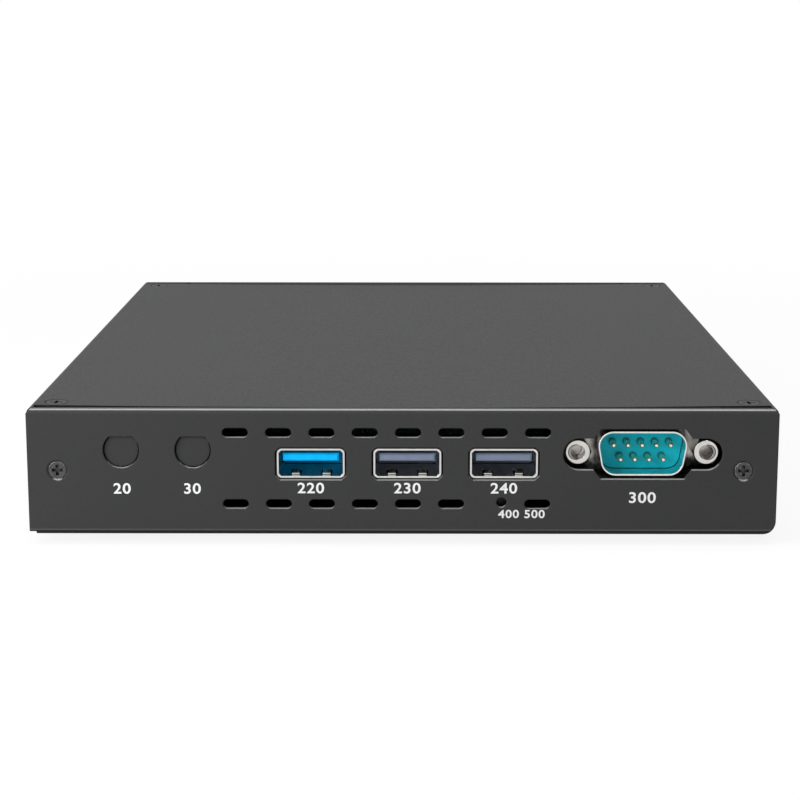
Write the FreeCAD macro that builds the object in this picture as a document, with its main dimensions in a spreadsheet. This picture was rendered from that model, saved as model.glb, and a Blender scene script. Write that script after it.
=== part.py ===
import FreeCAD, Part
import math
import operator
import os
from types import SimpleNamespace

import Sketcher
from FreeCAD import Rotation, Vector

# A fanless industrial computer in a flat case of folded sheet steel.
# Millimetres, +Z up. The front wall faces -Y, the width runs along X, and the
# origin is on the floor under the middle of the case.
# A size named *_height that places something on a wall is above the underside.

SIZES = {
    # the case
    "body_width": 146.0,
    "body_depth": 178.0,
    "body_height": 25.2,
    "sheet": 1.0,
    "bend_inside": 0.15,
    "top_sag": 0.47,
    "wall_inset": 0.05,
    "lip_depth": 1.3,
    "seam_width": 2.3,
    "fold_clearance": 0.15,
    "fold_crop": 0.95,
    "corner_step_width": 1.3,
    "corner_step_rise": 0.65,
    "corner_round": 2.9,
    "skirt_rise": 0.8,
    "skirt_corner": 4.0,
    # tabs that take the screws
    "screw_tab_length": 11.0,
    "screw_tab_width": 10.8,
    "flange_length": 5.5,
    "flange_gap": 1.2,
    "flange_clearance": 0.3,
    "side_tab_width": 8.6,
    "side_tab_low": 5.5,
    "side_tab_high": 20.5,
    # countersunk screws in the cover
    "cover_screw_inset": 4.9,
    "cover_screw_setback": 7.0,
    "cover_head_radius": 2.25,
    "cover_shank_radius": 1.25,
    "cover_screw_length": 5.0,
    # countersunk screws in the front and rear walls
    "wall_screw_inset": 5.85,
    "wall_screw_right_inset": 6.65,
    "wall_screw_height": 12.95,
    "wall_head_radius": 1.85,
    "wall_shank_radius": 1.0,
    "wall_screw_length": 4.0,
    "seat_margin": 0.25,
    "shank_clearance": 0.1,
    "head_recess": 0.1,
    "thread_clearance": 0.02,
    "driver_slot_width": 0.6,
    "driver_slot_depth": 0.6,
    "head_bevel": 0.2,
    # ventilation slots
    "vent_first": -32.45,
    "vent_pitch": 8.4,
    "vent_length": 5.08,
    "vent_opening": 1.88,
    "vent_upper_height": 20.45,
    "vent_lower_height": 6.25,
    # antenna knock-outs
    "knockout_first": -54.65,
    "knockout_pitch": 13.95,
    "knockout_height": 16.95,
    "knockout_radius": 3.55,
    "knockout_flat": 2.7,
    "knockout_slit": 0.2,
    "knockout_push": 0.55,
    "knockout_bridge": 0.8,
    "knockout_bridge_angle": 30.0,
    # rubber feet and the threaded mounting inserts
    "foot_height": 2.0,
    "foot_radius": 6.0,
    "foot_inset": 19.0,
    "foot_bevel": 0.5,
    "insert_spacing": 75.0,
    "insert_thread_radius": 2.0,
    "insert_shank_radius": 2.7,
    "insert_collar_radius": 3.9,
    "insert_collar_rise": 1.5,
    # mainboard
    "board_gap": 1.4,
    "board_side_gap": 2.5,
    "board_thickness": 1.6,
    "board_hole_inset": 4.0,
    "standoff_radius": 2.75,
    "standoff_shank_radius": 2.0,
    "board_thread_radius": 1.5,
    "board_screw_head_radius": 2.7,
    "board_screw_head_rise": 1.8,
    "board_screw_length": 6.0,
    "board_screw_bevel": 0.6,
    # universal serial bus sockets on the front
    "usb_first": -17.8,
    "usb_pitch": 18.8,
    "usb_height": 14.27,
    "usb_mouth_width": 12.5,
    "usb_mouth_rise": 5.12,
    "usb_wall": 0.3,
    "usb_flare": 0.36,
    "usb_depth": 14.0,
    "usb_corner": 1.0,
    "usb_recess": 0.55,
    "usb_clearance": 0.32,
    "usb_cutout_chamfer": 0.9,
    "usb_tongue_width": 10.9,
    "usb_tongue_rise": 1.5,
    "usb_tongue_gap": 0.75,
    "usb_tongue_recess": 0.6,
    "usb_back": 3.0,
    "usb_contact_width": 1.0,
    "usb_contact_rise": 0.12,
    "usb_contact_setback": 1.3,
    "usb_contact_pitch": 2.3,
    "usb_spring_width": 1.5,
    "usb_spring_offset": 3.0,
    "usb_spring_bulge": 0.75,
    "usb_spring_length": 5.0,
    "usb_spring_setback": 1.1,
    "usb_leg_length": 2.0,
    "usb_tongue_bevel": 0.3,
    # nine-pin serial port on the front
    "serial_x": 46.75,
    "serial_height": 16.23,
    "serial_inner_width": 17.65,
    "serial_inner_rise": 8.13,
    "serial_side_angle": 10.0,
    "serial_shell_wall": 0.32,
    "serial_corner": 2.6,
    "serial_shell_length": 5.9,
    "serial_shell_recess": 0.7,
    "serial_flange_width": 30.8,
    "serial_flange_rise": 12.5,
    "serial_flange_sheet": 0.8,
    "serial_ear_rise": 6.3,
    "serial_cutout_width": 31.0,
    "serial_cutout_middle": 19.1,
    "serial_cutout_rise": 10.0,
    "serial_cutout_chamfer": 1.4,
    "serial_insert_rise": 0.9,
    "serial_housing_width": 19.0,
    "serial_housing_rise": 10.6,
    "serial_housing_depth": 7.5,
    "serial_pin_pitch": 2.77,
    "serial_row_pitch": 2.84,
    "serial_pin_radius": 0.5,
    "serial_pin_recess": 0.8,
    "jack_spacing": 24.99,
    "jack_flats": 4.75,
    "jack_rise": 4.6,
    "jack_thread_radius": 1.42,
    "jack_thread_depth": 4.0,
    "jack_stem_radius": 1.5,
    "bracket_width": 5.6,
    "bracket_depth": 4.5,
    # clear-memory switch behind its pinhole
    "pinhole_x": 19.35,
    "pinhole_height": 6.6,
    "pinhole_radius": 1.0,
    "reset_body_width": 6.0,
    "reset_body_rise": 3.5,
    "reset_body_depth": 3.4,
    "reset_setback": 4.6,
    "reset_plunger_radius": 0.9,
    "reset_plunger_reach": 1.6,
    "reset_travel": 0.25,
    "slide_clearance": 0.2,
    # power button on the rear
    "power_x": -57.0,
    "power_height": 14.6,
    "power_cap_radius": 3.5,
    "power_cap_stand": 0.8,
    "power_flange_radius": 4.3,
    "power_flange_rise": 0.8,
    "power_stem_radius": 1.5,
    "power_stem_reach": 3.0,
    "power_travel": 0.6,
    "power_play": 0.3,
    "power_bevel": 0.4,
    "power_switch_width": 6.2,
    "power_switch_depth": 5.0,
    # network sockets on the rear
    "lan_first": 14.0,
    "lan_pitch": 18.2,
    "lan_width": 15.9,
    "lan_rise": 12.4,
    "lan_depth": 21.0,
    "lan_shield": 0.3,
    "lan_mouth_width": 11.8,
    "lan_mouth_rise": 7.6,
    "lan_mouth_depth": 12.0,
    "lan_mouth_floor": 2.4,
    "lan_latch_width": 6.2,
    "lan_latch_rise": 1.5,
    "lan_clearance": 0.4,
    "lan_light_width": 2.6,
    "lan_light_rise": 1.3,
    "lan_light_margin": 0.3,
    "lan_light_depth": 3.0,
    "lan_contact_pitch": 1.02,
    "lan_contact_width": 0.4,
    # display sockets on the rear
    "display_first": -34.0,
    "display_pitch": 21.0,
    "display_width": 14.05,
    "display_rise": 4.55,
    "display_wall": 0.3,
    "display_depth": 11.5,
    "display_notch": 1.9,
    "display_lift": 0.9,
    "display_tongue_width": 10.4,
    "display_tongue_rise": 1.2,
    "display_tongue_recess": 1.0,
    "display_back": 2.5,
    "display_leg_length": 1.6,
    "display_clearance": 0.4,
    # supply jack on the rear
    "supply_x": 57.0,
    "supply_width": 9.0,
    "supply_rise": 11.0,
    "supply_depth": 14.0,
    "supply_bore_radius": 3.15,
    "supply_bore_depth": 9.5,
    "supply_pin_radius": 1.25,
    "supply_pin_recess": 1.0,
    "supply_axis_lift": 6.5,
    "supply_clearance": 0.4,
    # processor and its path for heat into the cover
    "processor_x": -4.0,
    "processor_y": 8.0,
    "processor_width": 25.0,
    "processor_depth": 24.0,
    "processor_rise": 1.3,
    "paste_rise": 0.1,
    "spreader_width": 62.0,
    "spreader_depth": 52.0,
    "spreader_base": 3.0,
    "spreader_block_width": 44.0,
    "spreader_block_depth": 40.0,
    "pad_rise": 1.0,
    "pad_clearance": 0.05,
    "spreader_screw_inset": 4.0,
    "spreader_post_radius": 3.0,
    "spreader_thread_radius": 1.25,
    "spreader_head_radius": 2.4,
    "spreader_head_rise": 1.7,
    # memory module and its socket
    "memory_x": -4.0,
    "memory_y": -38.0,
    "memory_width": 69.6,
    "memory_depth": 30.0,
    "memory_sheet": 1.2,
    "memory_side_gap": 0.3,
    "memory_socket_depth": 6.0,
    "memory_socket_rise": 5.2,
    "memory_lift": 2.4,
    "memory_engagement": 4.0,
    "memory_arm": 2.4,
    # solid-state drive
    "drive_x": 52.0,
    "drive_y": -6.0,
    "drive_width": 22.0,
    "drive_length": 80.0,
    "drive_sheet": 0.8,
    "drive_lift": 2.0,
    "drive_socket_rise": 4.2,
    "drive_socket_depth": 8.5,
    "drive_engagement": 4.0,
    "drive_screw_radius": 1.0,
    "drive_post_radius": 2.3,
    "drive_head_radius": 2.2,
    "drive_head_rise": 1.0,
    # coin cell
    "cell_x": -54.0,
    "cell_y": 34.0,
    "cell_radius": 10.0,
    "cell_rise": 3.2,
    "cell_holder_wall": 1.4,
    "cell_holder_floor": 1.0,
    "cell_clearance": 0.1,
    "cell_bevel": 0.3,
    # parts soldered on the board
    "choke_x": -52.0,
    "choke_y": -10.0,
    "choke_pitch": 9.0,
    "choke_width": 7.0,
    "choke_rise": 3.0,
    "choke_bevel": 0.6,
    "capacitor_x": -62.0,
    "capacitor_radius": 3.15,
    "capacitor_rise": 5.8,
    "capacitor_bevel": 0.5,
    "chip_rise": 1.2,
}


class Size:
    """A number that remembers the spreadsheet formula it comes from."""

    def __init__(self, value, formula):
        self.value, self.formula = value, formula

    def __add__(self, other):
        return combined(self, "+", other)

    def __radd__(self, other):
        return combined(other, "+", self)

    def __sub__(self, other):
        return combined(self, "-", other)

    def __rsub__(self, other):
        return combined(other, "-", self)

    def __mul__(self, other):
        return combined(self, "*", other)

    def __rmul__(self, other):
        return combined(other, "*", self)

    def __truediv__(self, other):
        return combined(self, "/", other)

    def __neg__(self):
        return combined(0, "-", self)


OPERATIONS = {"+": operator.add, "-": operator.sub, "*": operator.mul, "/": operator.truediv}


def number(size):
    return size.value if isinstance(size, Size) else float(size)


def formula(size):
    return size.formula if isinstance(size, Size) else repr(float(size))


def combined(left, sign, right):
    value = OPERATIONS[sign](number(left), number(right))
    return Size(value, f"({formula(left)} {sign} {formula(right)})")


def bind(item, path, size):
    item.setExpression(path, formula(size))


doc = FreeCAD.newDocument("FanlessComputer")
table = doc.addObject("Spreadsheet::Sheet", "Sizes")
for row, (alias, value) in enumerate(SIZES.items(), 1):
    table.set(f"A{row}", alias)
    table.set(f"B{row}", str(value))
    table.setAlias(f"B{row}", alias)
doc.recompute()
s = SimpleNamespace(**{alias: Size(value, f"Sizes.{alias}") for alias, value in SIZES.items()})

# ---------------------------------------------------------------- places that follow from the sizes

half_width = s.body_width / 2
front = -s.body_depth / 2
rear = s.body_depth / 2
under = s.foot_height
top = under + s.body_height
floor_top = under + s.sheet
bend_outside = s.bend_inside + s.sheet
wall_half = half_width - s.wall_inset
# The cover sags between its screws, so the tabs lie as low as it does at their inner ends.
tab_outer = half_width - s.sheet - 2 * s.fold_clearance
tab_inner = tab_outer - s.screw_tab_width
tab_top = top - s.sheet - s.top_sag * (1 - (tab_inner / half_width) * (tab_inner / half_width))
cover_edge = s.body_depth / 2 - s.lip_depth - s.seam_width
skirt_end = s.body_depth / 2 - s.sheet - s.fold_clearance
board_top = under + s.serial_height - s.serial_flange_rise / 2
board_under = board_top - s.board_thickness
board_half = half_width - s.sheet - s.board_side_gap
board_end = s.body_depth / 2 - s.sheet - s.board_gap
usb_xs = [s.usb_first + s.usb_pitch * i for i in range(3)]
lan_xs = [s.lan_first + s.lan_pitch * i for i in range(2)]
display_xs = [s.display_first + s.display_pitch * i for i in range(2)]
knockout_xs = [s.knockout_first + s.knockout_pitch * i for i in range(2)]
vent_xs = [s.vent_first + s.vent_pitch * i for i in range(8)]
display_middle = board_top + s.display_lift + s.display_wall + s.display_rise / 2
flange_front = front + s.serial_shell_recess + s.serial_shell_length
flange_back = flange_front + s.serial_flange_sheet
ceiling_low = top - s.sheet - s.top_sag
VENT_GIVEN_TO_PINHOLE = 6
CORNERS = [(-1, -1), (1, -1), (-1, 1), (1, 1)]

nodes = []


def keep(item, label):
    """Marks a document object as a sub-part, and gives it its name."""
    item.Label = label
    nodes.append(item)
    return item


# ---------------------------------------------------------------- sketch helpers


def sketch_on(body, plane, offset=0):
    """A sketch on one of the body's own planes, moved along the plane's normal."""
    sketch = body.newObject("Sketcher::SketchObject", f"{body.Name}Sketch")
    support = next(item for item in body.Origin.OriginFeatures if item.Role == f"{plane}_Plane")
    sketch.AttachmentSupport = (support, [""])
    sketch.MapMode = "FlatFace"
    bind(sketch, "AttachmentOffset.Base.z", offset)
    return sketch


def wall_sketch(body, y):
    """A sketch in a plane across Y, drawn in X and Z. Its normal points to -Y."""
    return sketch_on(body, "XZ", -y)


def fix_point(sketch, item, point, x, y):
    places = [("DistanceX", x), ("DistanceY", y)]
    rules = [Sketcher.Constraint(kind, -1, 1, item, point, number(size)) for kind, size in places]
    for index, (_, size) in zip(sketch.addConstraint(rules), places):
        bind(sketch, f"Constraints[{index}]", size)


def fix_radius(sketch, item, radius):
    index = sketch.addConstraint(Sketcher.Constraint("Radius", item, number(radius)))
    bind(sketch, f"Constraints[{index}]", radius)


def polygon(sketch, points):
    """A closed outline, with every corner bound to its formulas."""
    first = sketch.GeometryCount
    corners = [Vector(number(x), number(y), 0) for x, y in points]
    ends = corners[1:] + corners[:1]
    sketch.addGeometry([Part.LineSegment(a, b) for a, b in zip(corners, ends)], False)
    count = len(points)
    joints = [(first + (i - 1) % count, first + i) for i in range(count)]
    sketch.addConstraint([Sketcher.Constraint("Coincident", a, 2, b, 1) for a, b in joints])
    for i, (x, y) in enumerate(points):
        fix_point(sketch, first + i, 1, x, y)


def rectangle(sketch, x, y, width, rise, chamfer=None, chamfer_rise=None):
    """A rectangle about its middle, with its corners cut off if a chamfer is given."""
    w, r = width / 2, rise / 2
    if chamfer is None:
        polygon(sketch, [(x - w, y - r), (x + w, y - r), (x + w, y + r), (x - w, y + r)])
        return
    c, d = chamfer, chamfer if chamfer_rise is None else chamfer_rise
    right = [(x + w - c, y - r), (x + w, y - r + d), (x + w, y + r - d), (x + w - c, y + r)]
    left = [(x - w + c, y + r), (x - w, y + r - d), (x - w, y - r + d), (x - w + c, y - r)]
    polygon(sketch, right + left)


def circle(sketch, x, y, radius):
    shape = Part.Circle(Vector(number(x), number(y), 0), Vector(0, 0, 1), number(radius))
    item = sketch.addGeometry(shape, False)
    fix_point(sketch, item, 3, x, y)
    fix_radius(sketch, item, radius)


def arc_about(x, y, radius, start, end):
    """An arc that runs anticlockwise from one angle to the other, in degrees."""
    whole = Part.Circle(Vector(number(x), number(y), 0), Vector(0, 0, 1), number(radius))
    return Part.ArcOfCircle(whole, math.radians(start), math.radians(end))


def stadium(sketch, x, y, length, opening):
    """A slot with round ends, along the sketch's first axis."""
    radius, reach = opening / 2, (length - opening) / 2
    r, c = number(radius), number(y)
    low, high = number(x - reach), number(x + reach)
    right = sketch.addGeometry(arc_about(x + reach, y, radius, -90, 90), False)
    upper = sketch.addGeometry(Part.LineSegment(Vector(high, c + r, 0), Vector(low, c + r, 0)), False)
    left = sketch.addGeometry(arc_about(x - reach, y, radius, 90, 270), False)
    lower = sketch.addGeometry(Part.LineSegment(Vector(low, c - r, 0), Vector(high, c - r, 0)), False)
    ends = [(right, 2, upper, 1), (upper, 2, left, 1), (left, 2, lower, 1), (lower, 2, right, 1)]
    sketch.addConstraint([Sketcher.Constraint("Tangent", *pair) for pair in ends])
    fix_point(sketch, right, 3, x + reach, y)
    fix_point(sketch, left, 3, x - reach, y)
    fix_radius(sketch, right, radius)


def flat_topped_circle(sketch, x, y, radius, flat):
    """A circle cut off by a level line above its middle."""
    angle = math.degrees(math.asin(number(flat) / number(radius)))
    arc = sketch.addGeometry(arc_about(x, y, radius, 180 - angle, 360 + angle), False)
    half = math.sqrt(number(radius) ** 2 - number(flat) ** 2)
    level = number(y + flat)
    ends = Vector(number(x) + half, level, 0), Vector(number(x) - half, level, 0)
    line = sketch.addGeometry(Part.LineSegment(*ends), False)
    rules = [("Coincident", arc, 2, line, 1), ("Coincident", line, 2, arc, 1), ("Horizontal", line)]
    sketch.addConstraint([Sketcher.Constraint(*rule) for rule in rules])
    fix_point(sketch, arc, 3, x, y)
    fix_radius(sketch, arc, radius)
    rule = Sketcher.Constraint("DistanceY", -1, 1, line, 1, level)
    bind(sketch, f"Constraints[{sketch.addConstraint(rule)}]", y + flat)


def hull_of_d(middle_x, middle_z, width, rise, angle):
    """The four corners of a D-shaped connector's outline, wide side up."""
    lean = math.tan(math.radians(number(angle)))
    w, r = width / 2, rise / 2
    foot = w - rise * lean
    x, z = middle_x, middle_z
    return [(x - foot, z - r), (x + foot, z - r), (x + w, z + r), (x - w, z + r)]


def display_outline(x, grow):
    """The mouth of a display socket, narrower at the bottom, grown on all sides."""
    w, r, notch = s.display_width / 2 + grow, s.display_rise / 2 + grow, s.display_notch
    z = display_middle
    right = [(x + w - notch, z - r), (x + w, z - r + notch), (x + w, z + r)]
    return right + [(x - w, z + r), (x - w, z - r + notch), (x - w + notch, z - r)]


# ---------------------------------------------------------------- feature helpers


def new_body(label):
    return keep(doc.addObject("PartDesign::Body", label), label)


def pad(body, sketch, length, along=-1):
    """Adds a sketch's outline against its normal, or along it where along is 1."""
    feature = body.newObject("PartDesign::Pad", f"{body.Name}Pad")
    feature.Profile = sketch
    feature.Reversed = along < 0
    bind(feature, "Length", length)
    body.Tip = feature
    return feature


def pad_both_ways(body, sketch, length):
    feature = pad(body, sketch, length, along=1)
    feature.SideType = "Symmetric"
    return feature


def pocket(body, sketch, depth, along=-1):
    """Cuts a sketch's outline against its normal, or along it where along is 1."""
    feature = body.newObject("PartDesign::Pocket", f"{body.Name}Pocket")
    feature.Profile = sketch
    feature.Reversed = along > 0
    bind(feature, "Length", depth)
    body.Tip = feature
    return feature


def through_pocket(body, sketch):
    feature = body.newObject("PartDesign::Pocket", f"{body.Name}Cut")
    feature.Profile = sketch
    feature.SideType = "Symmetric"
    bind(feature, "Length", s.body_width + s.body_depth)
    body.Tip = feature
    return feature


def countersunk_holes(body, sketch, along, depth, shank, head):
    doc.recompute()
    hole = body.newObject("PartDesign::Hole", f"{body.Name}Hole")
    hole.Profile = sketch
    doc.recompute()
    hole.ThreadType = "None"
    hole.DepthType = "Dimension"
    hole.DrillPoint = "Flat"
    hole.Reversed = along > 0
    hole.HoleCutType = "Countersink"
    hole.HoleCutCustomValues = True
    hole.HoleCutCountersinkAngle = 90
    bind(hole, "Depth", depth)
    bind(hole, "Diameter", 2 * shank)
    bind(hole, "HoleCutDiameter", 2 * head)
    body.Tip = hole
    return hole


def round_edges(body, radius, chosen):
    """Rounds the edges of the body that the test chooses."""
    doc.recompute()
    base = body.Tip
    names = [f"Edge{i}" for i, edge in enumerate(base.Shape.Edges, 1) if chosen(edge)]
    if not names:
        raise RuntimeError(f"{body.Label} has no edge to round")
    feature = body.newObject("PartDesign::Fillet", f"{body.Name}Round")
    feature.Base = (base, names)
    bind(feature, "Radius", radius)
    body.Tip = feature
    return feature


def runs_along(edge, axis):
    """Whether an edge is straight and parallel to the axis, given as 0, 1 or 2."""
    if edge.Curve.TypeId != "Part::GeomLine":
        return False
    return abs(edge.Curve.Direction[axis]) > 0.9999


def middle(edge):
    return edge.BoundBox.Center


def near(value, size):
    return abs(value - number(size)) < 0.001


def rim_at(level, axis="z"):
    """A test for the round edges that lie at a level along an axis."""
    return lambda edge: edge.Curve.TypeId == "Part::GeomCircle" and near(getattr(middle(edge), axis), level)


def box(x, y, z, length, width, rise, name="Block"):
    """A block from its lowest corner."""
    item = doc.addObject("Part::Box", name)
    for path, size in (("Length", length), ("Width", width), ("Height", rise)):
        bind(item, path, size)
    for axis, size in zip("xyz", (x, y, z)):
        bind(item, f"Placement.Base.{axis}", size)
    return item


def centred_box(x, y, z, length, width, rise, name="Block"):
    """A block that stands at z, with its middle at x and y."""
    return box(x - length / 2, y - width / 2, z, length, width, rise, name)


TURNS = {"up": Rotation(), "in": Rotation(Vector(1, 0, 0), -90), "out": Rotation(Vector(1, 0, 0), 90)}


def turned(kind, x, y, z, way, name, **sizes):
    item = doc.addObject(kind, name)
    item.Placement = FreeCAD.Placement(Vector(), TURNS[way])
    for path, size in sizes.items():
        bind(item, path, size)
    for axis, size in zip("xyz", (x, y, z)):
        bind(item, f"Placement.Base.{axis}", size)
    return item


def rod(x, y, z, radius, length, way="up", name="Rod"):
    """A cylinder that runs up, in towards +Y or out towards -Y from its first end."""
    return turned("Part::Cylinder", x, y, z, way, name, Radius=radius, Height=length)


def cone(x, y, z, first, last, length, way="up", name="Taper"):
    return turned("Part::Cone", x, y, z, way, name, Radius1=first, Radius2=last, Height=length)


def fused(items, name="Joined"):
    item = doc.addObject("Part::MultiFuse", name)
    item.Shapes = items
    item.Refine = True
    return item


def cut(base, tools, name="Shaped"):
    item = doc.addObject("Part::Cut", name)
    item.Base = base
    item.Tool = tools[0] if len(tools) == 1 else fused(tools, f"{name}Tools")
    return item


def group(items, name="Set"):
    item = doc.addObject("Part::Compound", name)
    item.Links = items
    return item


def bevelled(item, size, chosen, name="Bevelled"):
    """Chamfers the edges of a block or rod that the test chooses."""
    doc.recompute()
    feature = doc.addObject("Part::Chamfer", name)
    feature.Base = item
    edges = [i for i, edge in enumerate(item.Shape.Edges, 1) if chosen(edge)]
    feature.Edges = [(i, number(size), number(size)) for i in edges]
    return feature


# ---------------------------------------------------------------- the case


def fold_section():
    """The base's section across X: floor, two walls and their turned-in lips."""
    lip_front, lip_rear = front + s.lip_depth, rear - s.lip_depth
    wall_front, wall_rear = front + s.sheet, rear - s.sheet
    lip_under = top - s.sheet
    outside = [(lip_front, top), (front, top), (front, under)]
    outside += [(rear, under), (rear, top), (lip_rear, top)]
    inside = [(lip_rear, lip_under), (wall_rear, lip_under), (wall_rear, floor_top)]
    inside += [(wall_front, floor_top), (wall_front, lip_under), (lip_front, lip_under)]
    return outside + inside


def add_flanges(body):
    """Flanges that step down from the lips: tabs for screws, and strips between them."""
    tab_x = (tab_outer + tab_inner) / 2
    tab = s.screw_tab_width, tab_top, s.screw_tab_length
    strip = 2 * (tab_inner - s.flange_gap), ceiling_low - s.flange_clearance, s.flange_length
    for side in (-1, 1):
        for x, (width, level, length) in ((-tab_x, tab), (0, strip), (tab_x, tab)):
            drop = top - level
            lip = side * (s.body_depth / 2 - s.lip_depth)
            step = lip - side * drop
            end = side * (s.body_depth / 2 - length)
            upper = [(lip, top), (step, level), (end, level)]
            lower = [(end, level - s.sheet), (step, level - s.sheet), (lip, top - s.sheet)]
            sketch = sketch_on(body, "YZ", x)
            polygon(sketch, upper + lower)
            pad_both_ways(body, sketch, width)


def trim_corners(body):
    """Crops the walls' corners, each in its own way, and clears the way for the cover."""
    sketch = wall_sketch(body, 0)
    for side in (-1, 1):
        edge, near_x = side * wall_half, side * (wall_half - s.fold_crop)
        beyond_x, beyond_z = side * half_width, top + s.fold_crop
        outline = [(edge, top - s.fold_crop), (near_x, top), (near_x, beyond_z)]
        outline += [(beyond_x, beyond_z), (beyond_x, top - s.fold_crop)]
        polygon(sketch, outline)
    rectangle(sketch, -wall_half, under, 2 * s.corner_step_width, 2 * s.corner_step_rise)
    through_pocket(body, sketch)
    # The floor and the lips are narrower than the walls, so that the cover's skirts pass them.
    strip = sketch_on(body, "XY", under)
    floor_half = half_width - s.sheet - s.fold_clearance
    for side in (-1, 1):
        length = s.body_depth - 2 * bend_outside
        rectangle(strip, side * wall_half, 0, 2 * (wall_half - floor_half), length)
    pocket(body, strip, bend_outside, along=1)
    lips = sketch_on(body, "XY", top)
    for side in (-1, 1):
        size = 2 * (wall_half - tab_outer), s.body_depth - 2 * s.sheet
        rectangle(lips, side * wall_half, 0, *size)
    pocket(body, lips, bend_outside)
    corner = wall_sketch(body, 0)
    edge, low, radius = wall_half, under, s.corner_round
    arc = corner.addGeometry(arc_about(edge - radius, low + radius, radius, -90, 0), False)
    points = [Vector(number(edge), number(low + radius), 0), Vector(number(edge), number(low), 0)]
    points += [Vector(number(edge - radius), number(low), 0)]
    upright, level = [corner.addGeometry(Part.LineSegment(*pair), False) for pair in zip(points, points[1:])]
    corner.addConstraint([
        Sketcher.Constraint("Tangent", arc, 2, upright, 1),
        Sketcher.Constraint("Tangent", arc, 1, level, 2),
        Sketcher.Constraint("Coincident", upright, 2, level, 1),
        Sketcher.Constraint("Vertical", upright),
        Sketcher.Constraint("Horizontal", level),
    ])
    fix_point(corner, upright, 2, edge, low)
    fix_radius(corner, arc, radius)
    through_pocket(body, corner)


def cut_front_wall(body):
    depth = s.sheet + s.bend_inside
    slots = wall_sketch(body, front)
    for x in vent_xs:
        stadium(slots, x, under + s.vent_upper_height, s.vent_length, s.vent_opening)
    for i, x in enumerate(vent_xs):
        if i != VENT_GIVEN_TO_PINHOLE:
            stadium(slots, x, under + s.vent_lower_height, s.vent_length, s.vent_opening)
    circle(slots, s.pinhole_x, under + s.pinhole_height, s.pinhole_radius)
    width = s.usb_mouth_width + 2 * (s.usb_flare + s.usb_clearance)
    rise = s.usb_mouth_rise + 2 * (s.usb_flare + s.usb_clearance)
    for x in usb_xs:
        rectangle(slots, x, under + s.usb_height, width, rise, s.usb_cutout_chamfer)
    stadium(slots, s.serial_x, under + s.serial_height, s.serial_cutout_width, s.serial_ear_rise)
    pocket(body, slots, depth)
    window = wall_sketch(body, front)
    place = s.serial_x, under + s.serial_height
    shoulder = (s.serial_cutout_rise - s.serial_ear_rise) / 2
    size = s.serial_cutout_middle, s.serial_cutout_rise, s.serial_cutout_chamfer, shoulder
    rectangle(window, *place, *size)
    pocket(body, window, depth)


def add_knockouts(body):
    """Half-pierced discs, each still held by one bridge of metal."""
    height = under + s.knockout_height
    holes = wall_sketch(body, front)
    for x in knockout_xs:
        flat_topped_circle(holes, x, height, s.knockout_radius, s.knockout_flat)
    pocket(body, holes, s.sheet + s.bend_inside)
    bridges = wall_sketch(body, front + s.knockout_push)
    angle = math.radians(number(s.knockout_bridge_angle))
    for x in knockout_xs:
        middle_x = x + s.knockout_radius * math.cos(angle)
        middle_z = height + s.knockout_radius * math.sin(angle)
        rectangle(bridges, middle_x, middle_z, s.knockout_bridge, s.knockout_bridge)
    pad(body, bridges, s.sheet - s.knockout_push)
    discs = wall_sketch(body, front + s.knockout_push)
    radius, flat = s.knockout_radius - s.knockout_slit, s.knockout_flat - s.knockout_slit
    for x in knockout_xs:
        flat_topped_circle(discs, x, height, radius, flat)
    pad(body, discs, s.sheet)


def cut_rear_wall(body):
    """Openings for the sockets on the rear, each a little larger than what fills it."""
    depth = s.sheet + s.bend_inside
    window = wall_sketch(body, rear)
    gap = 2 * s.lan_clearance
    for x in lan_xs:
        rectangle(window, x, board_top + s.lan_rise / 2, s.lan_width + gap, s.lan_rise + gap)
    for x in display_xs:
        polygon(window, display_outline(x, s.display_wall + s.display_clearance))
    gap = 2 * s.supply_clearance
    middle_z = board_top + s.supply_rise / 2
    rectangle(window, s.supply_x, middle_z, s.supply_width + gap, s.supply_rise + gap)
    circle(window, s.power_x, under + s.power_height, s.power_cap_radius + s.slide_clearance)
    for x in vent_xs:
        stadium(window, x, under + s.vent_lower_height, s.vent_length, s.vent_opening)
    pocket(body, window, depth, along=1)


def wall_screw_places(side_y):
    height = under + s.wall_screw_height
    left, right = s.wall_screw_inset - half_width, half_width - s.wall_screw_right_inset
    return [(x, side_y * s.body_depth / 2, height) for x in (left, right)]


def base_chassis():
    """One folded sheet: floor, front wall and rear wall, with tabs under the cover."""
    body = new_body("base_chassis")
    section = sketch_on(body, "YZ")
    polygon(section, fold_section())
    pad_both_ways(body, section, 2 * wall_half)
    ends = {(number(y), number(z)) for y in (front, rear) for z in (under, top)}
    inner_ends = {(number(y), number(z)) for y in (front + s.sheet, rear - s.sheet)
                  for z in (floor_top, top - s.sheet)}

    def at(edge, places):
        spot = middle(edge)
        return any(abs(spot.y - y) < 0.001 and abs(spot.z - z) < 0.001 for y, z in places)

    round_edges(body, bend_outside, lambda edge: runs_along(edge, 0) and at(edge, ends))
    round_edges(body, s.bend_inside, lambda edge: runs_along(edge, 0) and at(edge, inner_ends))
    trim_corners(body)
    add_flanges(body)
    cut_front_wall(body)
    add_knockouts(body)
    cut_rear_wall(body)
    for side_y in (-1, 1):
        sketch = wall_sketch(body, side_y * s.body_depth / 2)
        for x, _, z in wall_screw_places(side_y):
            circle(sketch, x, z, s.wall_shank_radius + s.shank_clearance)
        head = s.wall_head_radius + s.seat_margin
        shank = s.wall_shank_radius + s.shank_clearance
        countersunk_holes(body, sketch, side_y, s.sheet + s.bend_inside, shank, head)
    drill_floor(body)
    drill_screw_tabs(body)
    return body


def insert_places():
    reach = s.insert_spacing / 2
    return [(x * reach, y * reach) for x, y in CORNERS]


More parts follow.
